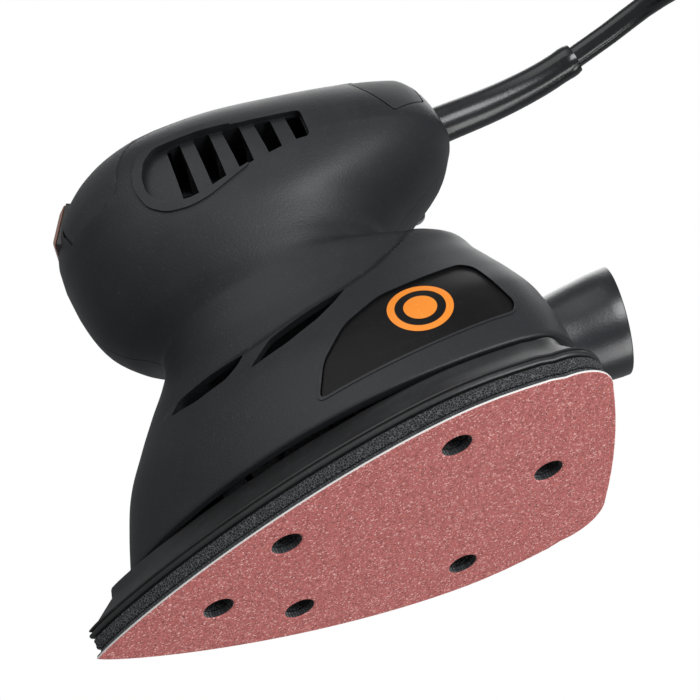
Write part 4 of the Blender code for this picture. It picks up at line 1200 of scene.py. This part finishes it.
# Finishes as name, colour, roughness, grain size and depth, wear, dust and anything more.
# A colour or a wear given as a name is the user's setting of that name.
RECIPES = {
    "housing": ("Moulded housing plastic", "housing", (0.42, 0.52), 1900.0, 0.00008, "wear", 0.16,
                dict(specular=0.36)),
    "rubber": ("Soft grip rubber", "rubber", (0.52, 0.66), 1500.0, 0.00005, "wear", 0.2,
               dict(sheen=0.08, specular=0.35)),
    "label": ("Gloss label plate", (0.0052, 0.0048, 0.005), (0.36, 0.44), 900.0, 0.00001, 0.2, 0.08,
              dict(scratch=700.0, strength=0.15, specular=0.14)),
    "badge": ("Printed badge ink", "badge", (0.32, 0.42), 1600.0, 0.00002, 0.0, 0.05,
              dict(lift=1.12, strength=0.2, speck_lift=1.0)),
    "satin": ("Satin black plastic", (0.012, 0.012, 0.013), (0.34, 0.46), 1500.0, 0.00004, "wear", 0.25, {}),
    "platen": ("Platen plastic", (0.0115, 0.0115, 0.012), (0.36, 0.5), 1300.0, 0.00004, "wear", 0.22,
               dict(scratch=500.0)),
    "outlet": ("Outlet tube plastic", (0.011, 0.0115, 0.0135), (0.26, 0.34), 1500.0, 0.00004, "wear", 0.12,
               {}),
    "lead": ("Lead jacket", (0.008, 0.0082, 0.009), (0.2, 0.28), 1200.0, 0.00003, 0.2, 0.08, {}),
    "foam": ("Foam rubber", (0.014, 0.0142, 0.0155), (0.8, 0.92), 1100.0, 0.00022, 0.0, 0.3,
             dict(specular=0.25, strength=0.9, extra=foam_cells)),
    "hook": ("Hook cloth", (0.026, 0.027, 0.029), (0.85, 0.95), 1500.0, 0.0002, 0.0, 0.3,
             dict(specular=0.2, sheen=0.3, strength=0.9, extra=weave)),
    "strap": ("Strap cloth", (0.022, 0.022, 0.024), (0.8, 0.95), 1500.0, 0.0002, 0.0, 0.2,
              dict(specular=0.2, sheen=0.4, strength=0.9, extra=weave)),
    "grit": ("Bonded grit", "grit", (0.72, 0.9), 2100.0, 0.00016, 0.0, 0.0,
             dict(specular=0.35, strength=0.7, extra=grit_grains)),
    "paper": ("Backing paper", (0.76, 0.74, 0.71), (0.8, 0.92), 1300.0, 0.00006, 0.0, 0.1,
              dict(lift=1.1, specular=0.25, speck_lift=1.0)),
    "brass": ("Plug brass", (0.66, 0.55, 0.34), (0.24, 0.4), 900.0, 0.00002, 0.3, 0.1,
              dict(lift=1.15, metallic=1.0, scratch=900.0, strength=0.2)),
    "zinc": ("Zinc screw steel", (0.46, 0.46, 0.47), (0.28, 0.42), 1200.0, 0.00002, 0.4, 0.2,
             dict(lift=1.15, metallic=1.0, scratch=800.0, strength=0.2)),
    "steel": ("Ground steel", (0.5, 0.5, 0.51), (0.2, 0.34), 900.0, 0.00002, 0.4, 0.1,
              dict(lift=1.15, metallic=1.0, scratch=1100.0, strength=0.25)),
    "iron": ("Laminated iron", (0.2, 0.2, 0.205), (0.42, 0.6), 900.0, 0.00008, 0.3, 0.2,
             dict(lift=1.2, metallic=0.9, extra=laminations)),
    "copper": ("Enamelled copper", (0.5, 0.19, 0.07), (0.28, 0.42), 900.0, 0.00012, 0.2, 0.1,
               dict(lift=1.2, metallic=0.9, extra=windings)),
    "carbon": ("Brush carbon", (0.03, 0.03, 0.032), (0.55, 0.7), 1300.0, 0.00008, 0.4, 0.3, {}),
    "cast": ("Cast fan metal", (0.3, 0.31, 0.32), (0.42, 0.6), 700.0, 0.00012, 0.4, 0.35,
             dict(lift=1.2, metallic=0.7)),
    "boot": ("Clear amber boot", "boot", (0.12, 0.22), 900.0, 0.00002, 0.15, 0.12, dict(lift=1.2)),
}
# How much lighter the label rims are painted, as a highlight along their edge.
PAINTED_RIM_HIGHLIGHT = 5.0
BOOT_CLARITY = 0.55
BOOT_IOR = 1.45


def make_finish(key):
    """A finish from its recipe, with the user's settings in place of their names."""
    settings = bpy.context.scene.sander_colours
    # The rim finish is the housing colour made five times lighter: a painted highlight on the label rims.
    if key == "rim":
        return moulding("Rubbed housing rim", shade(tuple(settings.housing), PAINTED_RIM_HIGHLIGHT), (0.36, 0.46), 1900.0,
                        0.00004, settings.wear, 0.1, lift=1.3)
    name, colour, rough, grain, depth, wear, dust, more = RECIPES[key]
    colour = tuple(getattr(settings, colour)) if isinstance(colour, str) else colour
    wear = settings.wear if wear == "wear" else wear
    made = moulding(name, colour, rough, grain, depth, wear, dust, **more)
    if key == "boot":
        shader = made.node_tree.nodes["Principled BSDF"]
        shader.inputs["Transmission Weight"].default_value = BOOT_CLARITY
        shader.inputs["IOR"].default_value = BOOT_IOR
    return made


def finish(key):
    if key not in FINISHES:
        FINISHES[key] = make_finish(key)
    return FINISHES[key]


def repaint(node, look):
    """Give a carried-over node its finish."""
    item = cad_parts[node]
    if not item.material_slots:
        item.data.materials.append(None)
    for held in item.material_slots:
        held.material = finish(look)


MOTOR_FINISHES = {
    "stator": "iron", "armature_core": "iron", "field_coil_front": "copper", "field_coil_rear": "copper",
    "armature_winding_lower": "copper", "armature_winding_upper": "copper", "commutator": "copper",
    "shaft": "steel", "bearing_upper": "steel", "bearing_lower": "steel", "bearing_pad": "steel",
    "eccentric": "steel", "pad_screw": "zinc", "clamp_screw_1": "zinc", "clamp_screw_2": "zinc",
    "cord_clamp": "satin", "carbon_brush_front": "carbon", "carbon_brush_rear": "carbon",
    "brush_holder_front": "brass", "brush_holder_rear": "brass", "fan": "cast",
}


class SANDER_OT_motor(bpy.types.Operator):
    """Finish the motor, fan, eccentric and lead clamp inside the housing"""
    bl_idname = "sander.motor"
    bl_label = "Motor finishes"

    def execute(self, context):
        for node, look in MOTOR_FINISHES.items():
            repaint(node, look)
        return {"FINISHED"}


# ---------------------------------------------------------------- stage

def one_sided_floor():
    """Pale bench top that shows only from above, so it never hides the sole."""
    mesh = bpy.data.meshes.new("bench_top")
    corners = [(x * BENCH_HALF, y * BENCH_HALF, BENCH_Z) for x, y in ((-1, -1), (1, -1), (1, 1), (-1, 1))]
    mesh.from_pydata(corners, [], [(0, 1, 2, 3)])
    bench = new_object("bench_top", mesh)
    made = bpy.data.materials.new("Pale bench")
    made.use_nodes = True
    tree = made.node_tree
    shader = tree.nodes["Principled BSDF"]
    shader.inputs["Roughness"].default_value = 0.85
    shader.inputs["Specular IOR Level"].default_value = 0.2
    tone = noise(tree, object_place(tree), 9.0, 4.0)
    pale = mix_colour(tree, tone, (0.80, 0.80, 0.80), (0.86, 0.86, 0.855))
    tree.links.new(pale, shader.inputs["Base Color"])
    behind = add(tree, "ShaderNodeNewGeometry").outputs["Backfacing"]
    clear = add(tree, "ShaderNodeBsdfTransparent")
    choose_shader(tree, behind, shader, clear, "Material Output")
    mesh.materials.append(made)
    bench.visible_shadow = False
    bench.visible_diffuse = False
    bench.visible_glossy = False


def choose_shader(tree, factor, first, second, output):
    """Show the first shader where the factor is 0 and the second where it is 1."""
    choose = add(tree, "ShaderNodeMixShader", {"Fac": factor, 1: first.outputs[0], 2: second.outputs[0]})
    tree.links.new(choose.outputs[0], tree.nodes[output].inputs["Surface"])


def soft_light(name, offset, size, power, colour):
    """A square soft light placed right, above and in front of the view, turned to the tool."""
    centre = Vector(LIGHT_AIM)
    axes = Euler([math.radians(a) for a in VIEW_TURN]).to_matrix()
    light = bpy.data.lights.new(name, "AREA")
    light.shape = "SQUARE"
    light.size = size
    light.energy = power
    light.color = colour
    made = new_object(name, light)
    made.location = centre + axes @ Vector(offset)
    made.rotation_euler = (made.location - centre).to_track_quat("Z", "Y").to_euler()


class SANDER_OT_stage(bpy.types.Operator):
    """Set the pale bench, the soft lights and the camera"""
    bl_idname = "sander.stage"
    bl_label = "Stage"

    def execute(self, context):
        one_sided_floor()
        for light in LIGHTS:
            soft_light(*light)
        world = bpy.data.worlds.new("Studio")
        context.scene.world = world
        world.use_nodes = True
        tree = world.node_tree
        around = tree.nodes["Background"]
        around.inputs["Color"].default_value = AMBIENT_COLOUR
        around.inputs["Strength"].default_value = AMBIENT_STRENGTH
        shown = {"Color": BACKGROUND_COLOUR, "Strength": BACKGROUND_STRENGTH}
        white = add(tree, "ShaderNodeBackground", shown)
        seen = add(tree, "ShaderNodeLightPath").outputs["Is Camera Ray"]
        choose_shader(tree, seen, around, white, "World Output")
        camera = bpy.data.cameras.new("view")
        camera.lens = VIEW_LENS
        camera.sensor_width = SENSOR_WIDTH
        camera.clip_start = 0.01
        eye = new_object("view", camera)
        eye.location = VIEW_PLACE
        eye.rotation_euler = [math.radians(a) for a in VIEW_TURN]
        context.scene.camera = eye
        context.scene.view_settings.view_transform = "Standard"
        return {"FINISHED"}


OPERATORS = (
    SANDER_OT_stage, SANDER_OT_lead, SANDER_OT_housing, SANDER_OT_inlays, SANDER_OT_switch, SANDER_OT_pad,
    SANDER_OT_outlet, SANDER_OT_screws, SANDER_OT_motor,
)


class SANDER_PT_panel(bpy.types.Panel):
    """Lists the sander's settings and its pieces"""
    bl_idname = "SANDER_PT_panel"
    bl_label = "Detail mouse sander"
    bl_space_type = "VIEW_3D"
    bl_region_type = "UI"
    bl_category = "Sander"

    def draw(self, context):
        column = self.layout.column()
        for settings in (context.scene.sander_colours, context.scene.sander_sizes):
            for key in settings.__annotations__:
                column.prop(settings, key)
        for kind in OPERATORS:
            column.operator(kind.bl_idname)


CLASSES = (SanderColours, SanderSizes, *OPERATORS, SANDER_PT_panel)


def register():
    for kind in CLASSES:
        bpy.utils.register_class(kind)
    bpy.types.Scene.sander_colours = bpy.props.PointerProperty(type=SanderColours)
    bpy.types.Scene.sander_sizes = bpy.props.PointerProperty(type=SanderSizes)


def unregister():
    del bpy.types.Scene.sander_sizes
    del bpy.types.Scene.sander_colours
    for kind in reversed(CLASSES):
        bpy.utils.unregister_class(kind)


def main():
    register()
    for kind in OPERATORS:
        group, action = kind.bl_idname.split(".")
        getattr(getattr(bpy.ops, group), action)()


if __name__ == "__main__":
    main()
